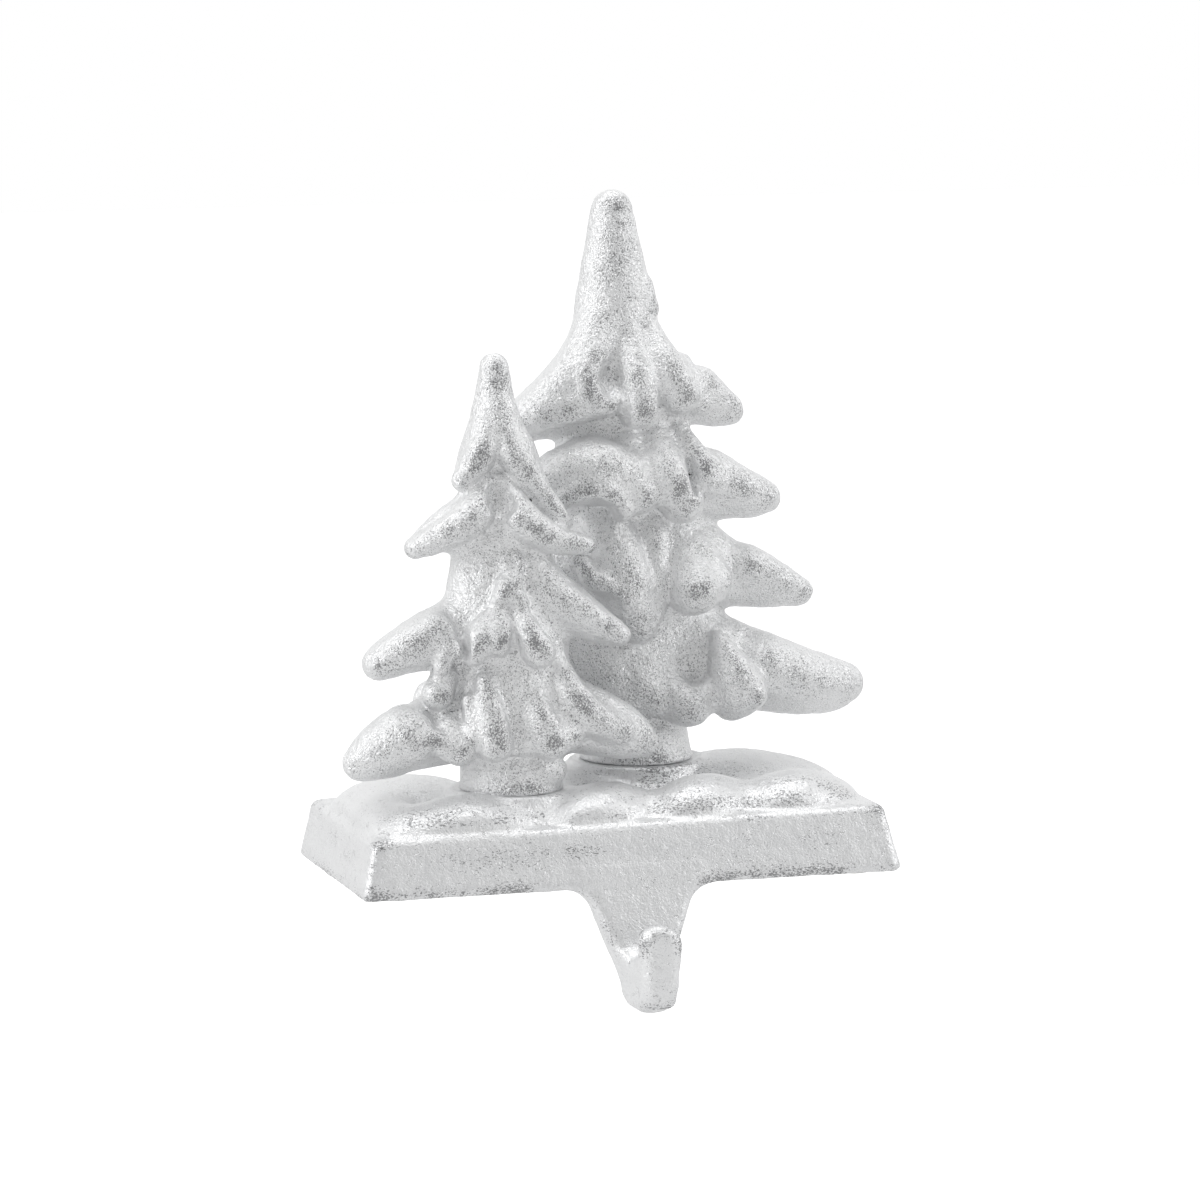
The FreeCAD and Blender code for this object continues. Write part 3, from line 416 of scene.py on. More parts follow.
# Large tree, given in the same way.
largeTree = {
    "foot": largeFoot,
    "step": 0.6,
    "stem": [
        (0, 0, 13.2, 13), (7, -0.2, 12, 12), (11, -0.4, 14, 10.5), (14.5, -0.5, 15.8, 12.2),
        (24, -1, 19, 11), (31, -1.5, 19, 9.4), (36, -1.8, 19, 10.2), (46, -2.2, 18.4, 10.4),
        (54, -2.6, 17.6, 8.6), (59, -2.9, 17.2, 8.8), (68, -3.4, 16.2, 9.4), (75, -3.9, 15.2, 7),
        (80, -4.2, 14.4, 7.6), (88, -4.6, 13.2, 8.2), (98, -5, 10.5, 7.9), (108, -5.4, 8.6, 7.3),
        (118, -5.6, 6.6, 6.2), (126.2, -5.9, 4.9, 4.9),
    ],
    "boughs": {
        "oneLeft": ((-9, 0, 92, 8.5), (-17, 0, 84.5, 7.6), (-25, 0, 79.8, 5.8), (-31, 0, 77, 4)),
        "oneRight": ((2, -1, 88, 9), (11, -2, 84, 6.5), (18, -2.5, 81, 4.7), (21.5, -3, 79.9, 3.3)),
        "twoLeft": ((-8, 2, 64, 10), (-20, 2, 62, 7), (-29, 2, 60, 5), (-34, 2, 58, 3.4)),
        "twoRight": ((6, -1, 65, 10.5), (18, -2, 62, 7.3), (26, -3, 60.2, 5.3), (30.3, -3, 59.5, 3.6)),
        "threeLeft": ((-10, 2, 45, 11), (-24, 3, 41.5, 7.5), (-33, 4, 39, 5.4), (-40, 4, 37, 3.6)),
        "threeRight": ((9, -1, 46, 11.5), (23, -2, 41.5, 7.3), (32, -3, 39, 5.2), (38.9, -3, 37.3, 3)),
        "fourLeft": ((-12, 2, 23, 11), (-28, 3, 19, 9), (-38, 4, 16, 7.2), (-47, 4, 15, 5)),
        "fourRight": ((14, -1, 23, 11.5), (27, -2, 19.5, 9.5), (37, -3, 16.4, 7.8), (45, -3, 15, 6.4),
                      (49.7, -3, 15.2, 4.8)),
        "backTop": ((-4, 4, 92, 6), (-5, 9, 80, 4)),
        "backTwo": ((3, 6, 69, 7), (6, 11, 57, 4.4)),
        "backDome": ((-9, 6, 67, 7), (-14, 10.5, 56, 4.6)),
        "backThree": ((-3, 8, 47, 8), (-3, 13, 34, 5)),
        "backLow": ((8, 8, 25, 7), (12, 13, 15, 4.8)),
        "backLowLeft": ((-10, 8, 25, 7), (-14, 12.6, 15, 4.8)),
    },
    "ribs": {
        "coneRight": ((0.6, -2.4, 109, 2.4), (2, -3, 104.2, 2.4)),
        "oneLeftRidge": ((-9.8, -3, 101, 5), (-15, -5.6, 91.6, 5.6), (-20.6, -5.4, 85.4, 5.4),
                         (-26.6, -3.6, 80.6, 4.2)),
        "oneLeftHem": ((-11, -7.6, 84.4, 4.2), (-17.2, -8.2, 83, 4.4), (-24, -6.6, 81, 3.4)),
        "curlRim": ((-9.6, -5.6, 98, 2.4), (-13.6, -8.8, 92.6, 2.8), (-15.2, -10.2, 88, 2.9),
                    (-13.4, -10.8, 84.2, 2.8), (-9.6, -10.4, 83.2, 2.6)),
        "finger": ((-3.2, -4.6, 99, 3.4), (-2.4, -8.4, 89.4, 4.4), (-2.6, -10.2, 81.6, 4.4)),
        "leaf": ((1.6, -3.4, 98, 3.4), (4.7, -7.2, 90.4, 4.8), (7.9, -8.2, 84.8, 4.4)),
        "leafRib": ((9.4, -4.6, 91.4, 2.4), (11.2, -7.2, 86.7, 2.4), (13.2, -7, 82, 2)),
        "oneRightTip": ((14, -4.4, 86, 4.6), (20.2, -3.6, 81.2, 3.4)),
        "dome": ((-20.3, -7.2, 66.8, 6.4), (-13.6, -9.2, 68, 7.8), (-6.8, -9.4, 66.6, 6.8)),
        "domeLip": ((-21.2, -11.8, 61.9, 2.4), (-17.7, -13.4, 63.9, 3), (-14.1, -14, 64.8, 3.2),
                    (-10.3, -14, 62.8, 3.1), (-7.3, -13, 59.2, 2.6)),
        "domeRight": ((-3.8, -6.4, 73, 3.4), (-2.6, -10.8, 62.6, 4.8)),
        "lobeTwo": ((2.4, -4.8, 76, 3.2), (4.4, -9.8, 66, 5.6), (7.6, -10.8, 60.4, 5)),
        "ribTwo": ((9, -4.4, 75, 2.8), (12.6, -7.8, 69, 3.2), (15, -8, 64.4, 3.2)),
        "twoRightTip": ((16, -4.6, 66, 5.6), (23.6, -4.4, 62, 4.9), (29.2, -3.4, 60.2, 3.4)),
        "tongue": ((-9, -5.6, 54, 6.4), (-6.8, -8.6, 45, 7), (-4.2, -10.2, 37.4, 5.6),
                   (-2.7, -10.6, 31.7, 3.6)),
        "tongueEdge": ((1, -7, 55, 2.8), (1.9, -9.2, 46, 3.2), (1.2, -10.4, 38, 2.9),
                       (-0.8, -10.6, 32.1, 2.4)),
        "tongueLip": ((-16.4, -11.4, 47.6, 2), (-14.8, -12.8, 43.8, 2.4), (-11.4, -13.6, 41.7, 2.5),
                      (-8, -13.8, 38.8, 2.2)),
        "bud": ((8, -8.4, 46.4, 4.2), (10, -12, 40.2, 6)),
        "budRight": ((12, -7, 48, 4.2), (15, -9.6, 41.6, 5)),
        "threeRightTip": ((25, -4.6, 43.8, 5.4), (32.4, -4.4, 40.2, 4.5), (37.8, -3.2, 37.6, 3)),
        "fourRightFront": ((29, -6, 20.8, 7.6), (38, -5.4, 17.8, 7), (47, -4, 15.9, 5.2)),
        "hood": ((16.3, -10.4, 28.6, 1.8), (18.6, -13, 21.4, 4.8), (20.9, -13.6, 16.8, 6.1)),
        "hoodRidge": ((16.2, -12.4, 28.4, 1.3), (19.9, -16.6, 21, 2.2), (22.9, -18, 15.8, 2.6)),
        "hoodLeft": ((15.3, -11.2, 17.2, 3.4), (18.9, -12, 13.6, 4.2)),
        "lowLobe": ((4.4, -8, 19, 3.4), (8, -11.8, 13.8, 5), (10.9, -11.6, 14, 4.4)),
        "lowLeft": ((-1, -8, 18.4, 4.2), (1.8, -9.8, 14.6, 3.8)),
    },
    "hollows": {
        "curlPit": (-9.2, -12.4, 89.2, 2.6, 3, 4.6),
        "conePit": (-0.4, -8.8, 100.4, 1.7, 2.4, 1.8),
        "fingerGap": (-6.9, -13.2, 79.6, 1.2, 3, 3.4),
        "domePit": (-14.4, -14.6, 57.8, 6, 5, 4.2),
        "tonguePit": (-12.4, -15.8, 37.2, 4, 4.6, 3.8),
        "ribPit": (9.8, -12, 66.6, 1.5, 4, 5.4),
    },
    "boughFlat": 0.82,
    "boughSoftness": 2.8,
    "ribSoftness": 1.8,
    "hollowSoftness": 1.3,
}

treeGrain = {
    "reach": 2.4,  # how far apart the neighbours lie that tell raised from hollow
    "flat": 0.45,  # share of the silver that a flat front face gets, painted shade on such faces
    "frontShade": 1.0,  # how much less painted shade a face gets as it turns from the front
    "proudFrom": 0.03,
    "edgeFrom": 0.24,
    "lumps": ((3.6, 0.14, 3), (1.6, 0.08, 8)),  # size, depth, seed
}
baseGrain = {
    "reach": 2.4,
    "flat": 0.2,
    "frontShade": 0.2,
    "proudFrom": 0.08,
    "edgeFrom": 0.42,
    "snow": 0.7,  # silver on the snow's front slopes, painted shade
    "snowFrom": 15.6,  # the height at which it begins
    "lumps": ((4.2, 0.1, 5), (1.6, 0.06, 9)),
}


def buildTree(name, tree):
    # the stem, then boughs and ribs melted on, small dents cut, and the foot cut off flat
    foot = np.asarray(tree["foot"], float)
    reach = np.array([node[:3] for bough in tree["boughs"].values() for node in bough])
    side, depth, below, above = 9.0, 22.0, 2.0, 8.0  # room round the boughs' ends and the trunk
    low = foot + np.array((reach[:, 0].min() - side, -depth, -below))
    high = foot + np.array((reach[:, 0].max() + side, depth, tree["stem"][-1][0] + above))
    field = makeField(low, high, tree["step"])
    addStem(field, foot, tree["stem"], crisp)
    for bough in tree["boughs"].values():
        addBough(field, foot, bough, tree["boughSoftness"], tree["boughFlat"])
    for rib in tree["ribs"].values():
        addBough(field, foot, rib, tree["ribSoftness"])
    for hollow in tree["hollows"].values():
        addHollow(field, foot, hollow, tree["hollowSoftness"])
    floor = foot[2] - (field["low"][2] + field["step"] * np.arange(field["values"].shape[2]))
    field["values"] = np.maximum(field["values"], floor[None, None, :].astype(np.float32))
    return meshField(field, name, treeGrain, keepLow=foot[2])


smallPiece = buildTree("small_fir", smallTree)
largePiece = buildTree("large_fir", largeTree)

# Base: hollow block with sloped sides, snow drifts on its top and the hook below its front edge.
baseCasting = {
    "step": 0.6,
    "rim": 0.8,  # bottom edge of the block, above the pads' soles
    "halfLength": 63.5,
    "front": -5.5,
    "rear": 54.5,
    "heightLeft": 13.3,
    "heightRight": 15.1,
    "endInset": 3.5,
    "frontInset": 3.7,
    "rearInset": 0.65,
    "cornerSoftness": 2.6,
    "edgeSoftness": 1.8,
    "wall": 5.0,
    "roof": 4.0,
    "padInset": 9.5,
    "padBoss": 6.0,
    "screwBoss": 7.0,
    "bossLift": 4.0,
    "screwHole": 2.75,
    "drifts": {  # right, back, up, half length, half depth, half height, turn in degrees
        "leftLobe": (-35.0, 7.6, 12.2, 21.0, 10.2, 9.4, 3.0),
        "leftFold": (-52.0, 20.0, 11.8, 9.0, 22.0, 8.4, -5.0),
        "middleLobe": (-4.0, 9.0, 12.6, 16.5, 10.6, 9.8, 22.0),
        "rightLobe": (20.0, 9.6, 13.2, 15.5, 10.2, 9.8, 25.0),
        "endLobe": (42.0, 10.2, 13.6, 15.4, 10.6, 9.2, 20.0),
        "rightTail": (51.0, 24.0, 13.2, 9.6, 22.0, 6.4, 0.0),
        "rightCrest": (36.0, 34.0, 13.2, 23.0, 19.0, 10.4, 0.0),
        "largeMound": (8.0, 35.5, 13.2, 26.0, 18.4, 10.0, 0.0),
        "smallMound": (-23.0, 21.0, 13.2, 22.0, 15.0, 8.2, 0.0),
        "leftCrest": (-42.0, 36.0, 12.8, 18.0, 17.0, 8.6, 0.0),
    },
    "driftSoftness": 4.2,
    "snowFloor": 9.0,  # the drifts end at this height above the rim
    "snowEdge": 1.2,  # softness of the snow's outer edge
    "snowFoot": 0.9,  # softness where the snow meets the block
    "ledgeLeft": 0.3,  # how far the snow stays behind the block's top edge
    "ledgeRight": 1.6,
    "collar": 2.0,  # width and softness of the snow round a seat
    "collarFoot": 8.0,
    "seats": ((11.8, 0.9), (13.2, 0.8)),  # each foot's radius, gap round it
    "seatRoom": 12.0,  # a seat is open this far above the foot
    "seatEdge": 0.3,
    "hollowEdge": 0.8,
    "top": 27.0,  # nothing of the base is above this
}
hook = {
    "centre": 1.0,
    "halfRoot": 13.4,
    "taper": 0.42,
    "halfToe": 4.2,
    "rootRadius": 4.2,
    "drop": 27.2,
    "reach": 18.5,
    "lean": 0.3,
    "plate": 5.5,
    "throatDepth": 14.2,
    "throatGap": 4.4,
    "fingerTop": 6.6,
    "fingerHalf": 4.1,  # half width of the finger's front
    "fingerRight": 1.2,  # the front stands this far to the right of the root
    "wedgeFrom": 8.0,  # from here forward the hook narrows in plan
    "tipHalf": 3.3,  # half width of the finger's top, over a fade down and back
    "tipFade": 5.0,
    "tipBack": 2.0,
    "tipShift": 0.7,
    "round": 3.2,
    "softness": 0.5,  # where the hook meets the block
    "left": -20.0,  # the hook is within these in x
    "right": 22.0,
}


def sloped(b, left, right, x):
    # straight line from the value at the block's left end to the one at its right end
    return left + (right - left) * np.clip(x / (2 * b["halfLength"]) + 0.5, 0, 1)


def sideDistances(b, share, ledge, x, y):
    # from the block's ends, front and rear, drafted by a share of the insets and a ledge inside
    ends = np.abs(x) - (b["halfLength"] - b["endInset"] * share - ledge)
    front = b["front"] + b["frontInset"] * share + ledge - y
    rear = y - (b["rear"] - b["rearInset"] * share - ledge)
    return ends, front, rear


def blockDistance(b):
    # block: what is inside four drafted sides, the sloped top and the flat rim
    def distance(x, y, z):
        up = z - b["rim"]
        share = np.clip(up / b["heightRight"], -0.2, 1.2)
        ends, front, rear = sideDistances(b, share, 0, x, y)
        top = up - sloped(b, b["heightLeft"], b["heightRight"], x)
        sides = carve(ends, carve(front, rear, crisp), b["cornerSoftness"])
        return carve(sides, carve(top, -up, crisp), b["edgeSoftness"])

    return distance


def polygonDistance(corners):
    # signed distance to a closed outline in the y, z plane
    corners = np.asarray(corners, float)

    def distance(y, z):
        nearest = np.full(np.broadcast(y, z).shape, 1e9)
        inside = np.zeros(nearest.shape, bool)
        for start, end in zip(corners, np.roll(corners, -1, 0)):
            run = end - start
            along = np.clip(((y - start[0]) * run[0] + (z - start[1]) * run[1]) / (run @ run), 0, 1)
            gap = (y - start[0] - along * run[0]) ** 2 + (z - start[1] - along * run[1]) ** 2
            nearest = np.minimum(nearest, gap)
            crosses = (start[1] > z) != (end[1] > z)
            where = start[0] + (z - start[1]) * run[0] / (run[1] if run[1] else 1e-9)
            inside ^= crosses & (y < where)
        return np.where(inside, -1, 1) * np.sqrt(nearest)

    return distance


def hookOutline(b, h):
    # side profile in y, z: down the back, round the toe, up the finger, over its top, through
    # the throat and up the plate's front; the small steps round the corners off
    top = b["rim"]
    toe = top - h["drop"]
    tip = top - h["fingerTop"]
    floor = top - h["throatDepth"]
    nose = -h["reach"]
    front = -(h["plate"] + h["lean"] * h["throatDepth"])  # plate's front at the throat's floor
    inner = front - h["throatGap"]
    return [(-1.5, top + 5), (0, top + 2), (0, toe + 5), (-1.4, toe + 1.4), (-5, toe), (-12.5, toe),
            (-16.7, toe + 1.8), (nose, toe + 6), (nose, tip - 1.6), (nose + 1.3, tip),
            (inner - 1.2, tip), (inner, tip - 1.3), (inner, floor + 1.9), (inner + 0.6, floor + 0.5),
            (inner + 1.9, floor), (front - 1.9, floor), (front - 0.4, floor + 0.9),
            (front + h["lean"] * 1.9, floor + 1.9), (-h["plate"], top), (-h["plate"] + 1.2, top + 5)]


def hookDistance(b, h):
    # hook: inside the side profile and within a half width that flares in a quarter circle at
    # the root, tapers down to the toe, narrows forward and again at the finger's top
    rim = b["rim"]
    plate = polygonDistance(hookOutline(b, h))
    inner = -(h["plate"] + h["lean"] * h["throatDepth"]) - h["throatGap"]
    radius = h["rootRadius"]

    def distance(x, y, z):
        down = np.maximum(rim - z, 0)
        arc = radius - np.sqrt(np.maximum(radius ** 2 - (radius - down) ** 2, 0))
        flare = np.where(down < radius, arc, 0)
        plateHalf = np.maximum(h["halfRoot"] - h["taper"] * down, h["halfToe"]) + flare
        wedge = np.clip((-y - h["wedgeFrom"]) / (h["reach"] - h["wedgeFrom"]), 0, 1)
        raised = np.clip((z - rim + h["fingerTop"] + h["tipFade"]) / h["tipFade"], 0, 1)
        tip = raised * np.clip((inner + 1.0 - y) / h["tipBack"], 0, 1)
        half = plateHalf * (1 - wedge) + h["fingerHalf"] * wedge
        half = half * (1 - tip ** 2) + h["tipHalf"] * tip ** 2
        across = np.abs(x - h["centre"] - h["fingerRight"] * wedge + h["tipShift"] * tip)
        return carve(across - half, plate(y, z), h["round"]).astype(np.float32)

    return distance


def boxDistance(low, high):
    # box: length of the gaps outside its faces, or the nearest face's depth inside
    low, high = np.asarray(low, float), np.asarray(high, float)
    middle, half = (low + high) / 2, (high - low) / 2

    def distance(x, y, z):
        gaps = [np.abs(v - m) - s for v, m, s in zip((x, y, z), middle, half)]
        outside = np.sqrt(sum(np.maximum(gap, 0) ** 2 for gap in gaps))
        inside = np.minimum(np.maximum(np.maximum(gaps[0], gaps[1]), gaps[2]), 0)
        return outside + inside

    return distance


def postDistance(right, back, radius, low, high):
    # upright cylinder: the greater of the distances to its side and to its ends
    def distance(x, y, z):
        side = np.sqrt((x - right) ** 2 + (y - back) ** 2) - radius
        ends = np.maximum(low - z, z - high)
        return np.maximum(side, ends)

    return distance


def makeSnow(b, low, high):
    # snow: turned ellipsoids melted together, a collar round each seat, cut off inside the
    # block's top edge by a ledge that widens from left to right
    snow = makeField(low, high, b["step"])
    rim = b["rim"]
    for right, back, up, wide, deep, tall, turn in b["drifts"].values():
        middle = np.array((right, back, up))
        reach = max(wide, deep, tall)
        drift = lobeDistance(middle, (wide, deep, tall), turn)
        addForm(snow, middle - reach, middle + reach, drift, b["driftSoftness"])
    for foot, (radius, _) in zip((smallFoot, largeFoot), b["seats"]):
        collar = postDistance(foot[0], foot[1], radius + b["collar"], rim + b["collarFoot"], foot[2])
        addForm(snow, foot - radius - 4, foot + radius + 4, collar, b["collar"])
    x, y, z = window(snow, low, high, 0)[1]
    ledge = sloped(b, b["ledgeLeft"], b["ledgeRight"], x)
    ends, front, rear = sideDistances(b, 1, ledge, x, y)
    edge = np.broadcast_to(np.maximum(ends, np.maximum(front, rear)), snow["values"].shape)
    return np.maximum(carve(snow["values"], edge, b["snowEdge"]), rim + b["snowFloor"] - z)


def makeHollow(b, low, high):
    # hollow under the base: a box, less a round boss for each pad and each screw
    rim = b["rim"]
    roomLow = (-b["halfLength"] + b["wall"], b["front"] + b["wall"], rim - 3)
    roomHigh = (b["halfLength"] - b["wall"], b["rear"] - b["wall"], rim + b["heightLeft"] - b["roof"])
    hollow = makeField(low, high, b["step"])
    addForm(hollow, roomLow, roomHigh, boxDistance(roomLow, roomHigh), crisp)
    posts = makeField(low, high, b["step"])
    padRight = b["halfLength"] - b["padInset"]
    bosses = [(right, back, b["padBoss"], 0.0) for right in (-padRight, padRight)
              for back in (b["front"] + b["padInset"], b["rear"] - b["padInset"])]
    bosses += [(foot[0], foot[1], b["screwBoss"], b["bossLift"]) for foot in (smallFoot, largeFoot)]
    for right, back, radius, lift in bosses:
        boss = postDistance(right, back, radius, rim + lift, roomHigh[2] + 2)
        addForm(posts, (right - 8, back - 8, rim), (right + 8, back + 8, roomHigh[2]), boss, crisp)
    return carve(hollow["values"], -posts["values"], b["hollowEdge"])


def cutSeats(field, b):
    # a round seat for each foot, a little wider than it, and the screw's hole below
    rim = b["rim"]
    for foot, (radius, gap) in zip((smallFoot, largeFoot), b["seats"]):
        seat = postDistance(foot[0], foot[1], radius + gap, foot[2], foot[2] + b["seatRoom"])
        cutForm(field, foot - radius - 2, foot + (radius + 2, radius + 2, 8), seat, b["seatEdge"])
        hole = postDistance(foot[0], foot[1], b["screwHole"], rim - 2, foot[2] + 4)
        cutForm(field, (foot[0] - 4, foot[1] - 4, rim), (foot[0] + 4, foot[1] + 4, foot[2]), hole, crisp)


def buildBase(b, h):
    # the block and the snow melt together, the hook joins on, then hollow and seats are cut
    room = 2.0
    rim = b["rim"]
    low = np.array((-b["halfLength"] - room, -h["reach"] - room, rim - h["drop"] - room))
    high = np.array((b["halfLength"] + room, b["rear"] + room, b["top"]))
    field = makeField(low, high, b["step"])
    blockLow = (-b["halfLength"], b["front"], rim)
    blockHigh = (b["halfLength"], b["rear"], rim + 16)
    addForm(field, blockLow, blockHigh, blockDistance(b), crisp)
    field["values"] = melt(field["values"], makeSnow(b, low, high), b["snowFoot"]).astype(np.float32)
    hookLow = (h["left"], -h["reach"] - 1, rim - h["drop"] - 1)
    addForm(field, hookLow, (h["right"], 1, rim + 6), hookDistance(b, h), h["softness"])
    hollow = makeHollow(b, low, high)
    field["values"] = carve(field["values"], -hollow, b["hollowEdge"]).astype(np.float32)
    cutSeats(field, b)
    return meshField(field, "snow_base", baseGrain)


basePiece = buildBase(baseCasting, hook)


def mathNode(tree, operation, first=None, second=None, clamp=False):
    node = tree.nodes.new("ShaderNodeMath")
    node.operation = operation
    node.use_clamp = clamp
    for index, value in enumerate((first, second)):
        if value is None:
            continue
        if isinstance(value, (int, float)):
            node.inputs[index].default_value = value
        else:
            tree.links.new(value, node.inputs[index])
    return node.outputs[0]


def noiseNode(tree, vector, scale, detail, roughness):
    node = tree.nodes.new("ShaderNodeTexNoise")
    tree.links.new(vector, node.inputs["Vector"])
    node.inputs["Scale"].default_value = scale
    node.inputs["Detail"].default_value = detail
    node.inputs["Roughness"].default_value = roughness
    return node.outputs["Fac"]


def stepNode(tree, value, low, high, atLow=0.0, atHigh=1.0):
    # smooth step: atLow up to low, atHigh from high on
    node = tree.nodes.new("ShaderNodeMapRange")
    node.interpolation_type = "SMOOTHSTEP"
    tree.links.new(value, node.inputs["Value"])
    node.inputs["From Min"].default_value = low
    node.inputs["From Max"].default_value = high
    node.inputs["To Min"].default_value = atLow
    node.inputs["To Max"].default_value = atHigh
    return node.outputs["Result"]


def attributeNode(tree, name):
    node = tree.nodes.new("ShaderNodeAttribute")
    node.attribute_name = name
    return node.outputs["Fac"]


def mixColour(tree, share, first, second):
    node = tree.nodes.new("ShaderNodeMix")
    node.data_type = "RGBA"
    tree.links.new(share, node.inputs["Factor"])
    for socket, value in ((node.inputs["A"], first), (node.inputs["B"], second)):
        if isinstance(value, tuple):
            socket.default_value = value
        else:
            tree.links.new(value, socket)
    return node.outputs["Result"]


def newMaterial(name):
    # a material with its nodes and its Principled shader
    material = bpy.data.materials.new(name)
    material.use_nodes = True
    tree = material.node_tree
    return material, tree, tree.nodes["Principled BSDF"]


castGrain = {
    "coarse": (620.0, 3.0, 0.6),  # grains a metre, detail, roughness
    "fine": (1900.0, 2.0, 0.6),
    "pits": (480.0, 3.0, 0.7),
    "coarseShare": 0.6,
    "fineShare": 0.4,
    "pitLevels": (0.62, 0.7),
    "depth": 0.0012,  # metres
}


def makeGrainGroup(g):
    # rough cast surface: height is a share of coarse and of fine noise, less sparse pits,
    # times the strength; a bump turns it into a normal
    group = bpy.data.node_groups.new("castGrain", "ShaderNodeTree")
    face = group.interface
    face.new_socket("Coordinates", in_out="INPUT", socket_type="NodeSocketVector")
    face.new_socket("Strength", in_out="INPUT", socket_type="NodeSocketFloat").default_value = 1.0
    face.new_socket("Pits", in_out="INPUT", socket_type="NodeSocketFloat").default_value = 0.5
    face.new_socket("Height", in_out="OUTPUT", socket_type="NodeSocketFloat")
    face.new_socket("Normal", in_out="OUTPUT", socket_type="NodeSocketVector")
    enter = group.nodes.new("NodeGroupInput")
    leave = group.nodes.new("NodeGroupOutput")
    spot = enter.outputs["Coordinates"]
    coarse = noiseNode(group, spot, *g["coarse"])
    fine = noiseNode(group, spot, *g["fine"])
    pits = stepNode(group, noiseNode(group, spot, *g["pits"]), *g["pitLevels"])
    coarse = mathNode(group, "MULTIPLY", coarse, g["coarseShare"])
    height = mathNode(group, "ADD", coarse, mathNode(group, "MULTIPLY", fine, g["fineShare"]))
    pits = mathNode(group, "MULTIPLY", pits, enter.outputs["Pits"])
    pitted = mathNode(group, "SUBTRACT", height, pits)
    bump = group.nodes.new("ShaderNodeBump")
    bump.inputs["Distance"].default_value = g["depth"]
    scaled = mathNode(group, "MULTIPLY", pitted, enter.outputs["Strength"])
    group.links.new(scaled, bump.inputs["Height"])
    group.links.new(height, leave.inputs["Height"])
    group.links.new(bump.outputs["Normal"], leave.inputs["Normal"])
    return group


grainGroup = makeGrainGroup(castGrain)

treePaint = {
    "white": (0.9, 0.905, 0.91, 1),
    "pearl": (0.7, 0.705, 0.715, 1),  # white thinned to silver where the form stands forward, and where faces turn to the front as painted shade
    "silver": (0.27, 0.272, 0.278, 1),
    "sheen": 0.55,  # metallic share of the paint
    "polish": 0.3,  # its roughness
    "grain": 0.7,  # strength of the cast grain, and of its pits
    "pits": 0.2,
    "stretch": (1.0, 1.0, 1.0),
    "patchScale": 210.0,  # patches a metre
    "between": 0.5,  # share of the brushing and painted front shade left between patches
    "speckScale": 3000.0,  # specks a metre
    "poreScale": 900.0,  # pinholes in the creases
    "pore": (0.05, 0.05, 0.052, 1),
    "most": 0.25,  # how much the brushing and painted front shade lift the specks
    "bare": (0.64, 0.72),  # specks above this are silver
}
basePaint = {
    "white": (0.9, 0.905, 0.91, 1),
    "pearl": (0.8, 0.805, 0.815, 1),
    "silver": (0.3, 0.302, 0.308, 1),
    "sheen": 0.42,
    "polish": 0.34,
    "grain": 0.36,
    "pits": 0.6,
    "stretch": (0.6, 1.0, 1.2),  # streaks along the block
    "patchScale": 120.0,
    "between": 0.15,
    "speckScale": 2600.0,
    "poreScale": 900.0,
    "pore": (0.12, 0.12, 0.122, 1),
    "most": 0.28,
    "bare": (0.68, 0.77),
}
paintLevels = {  # from, full
    "patch": (0.4, 0.6),
    "thin": (0.36, 0.6, 1.0, 0.45),  # thinnest in the grain's hollows, and this share on its tops
    "pore": (0.66, 0.7),
    "silverSheen": 0.75,
    "silverPolish": 0.34,
}


def makePaintedCasting(name, paint, levels):
    # pearly white paint on rough iron, dry brushed with silver where the form stands forward, and
    # darker silver painted on faces turned to the front as painted shade: silver where specks plus
    # the brushed and shaded mark times patches pass a level, pores where creases lie
    material, tree, shader = newMaterial(name)
    coords = tree.nodes.new("ShaderNodeTexCoord").outputs["Object"]
    # the mark is brushed silver and painted front shade together
    brushedAndFrontShade = attributeNode(tree, "brushedAndFrontShade")
    grain = tree.nodes.new("ShaderNodeGroup")
    grain.node_tree = grainGroup
    tree.links.new(coords, grain.inputs["Coordinates"])
    grain.inputs["Strength"].default_value = paint["grain"]
    grain.inputs["Pits"].default_value = paint["pits"]
    streak = tree.nodes.new("ShaderNodeMapping")
    streak.inputs["Scale"].default_value = paint["stretch"]
    tree.links.new(coords, streak.inputs["Vector"])
    streak = streak.outputs["Vector"]
    patches = noiseNode(tree, streak, paint["patchScale"], detail=4.0, roughness=0.65)
    patches = stepNode(tree, patches, *levels["patch"], paint["between"])
    specks = noiseNode(tree, streak, paint["speckScale"], detail=2.0, roughness=0.7)
    amount = mathNode(tree, "MULTIPLY", brushedAndFrontShade, patches)
    level = mathNode(tree, "ADD", specks, mathNode(tree, "MULTIPLY", amount, paint["most"]))
    silver = stepNode(tree, level, *paint["bare"])
    thin = stepNode(tree, grain.outputs["Height"], *levels["thin"])
    thin = mathNode(tree, "MULTIPLY", brushedAndFrontShade, thin)
    ground = mixColour(tree, thin, paint["white"], paint["pearl"])
    pores = noiseNode(tree, coords, paint["poreScale"], detail=1.0, roughness=0.5)
    pores = stepNode(tree, pores, *levels["pore"])
    pores = mathNode(tree, "MULTIPLY", pores, attributeNode(tree, "crease"))
    coat = mixColour(tree, silver, ground, paint["silver"])
    metallic = stepNode(tree, silver, 0.0, 1.0, paint["sheen"], levels["silverSheen"])
    roughness = stepNode(tree, silver, 0.0, 1.0, paint["polish"], levels["silverPolish"])
    tree.links.new(mixColour(tree, pores, coat, paint["pore"]), shader.inputs["Base Color"])
    tree.links.new(metallic, shader.inputs["Metallic"])
    tree.links.new(roughness, shader.inputs["Roughness"])
    tree.links.new(grain.outputs["Normal"], shader.inputs["Normal"])
    return material


treeCoatAndShade = makePaintedCasting("brushed_tree_front_shade", treePaint, paintLevels)
baseCoatAndShade = makePaintedCasting("brushed_base_front_shade", basePaint, paintLevels)


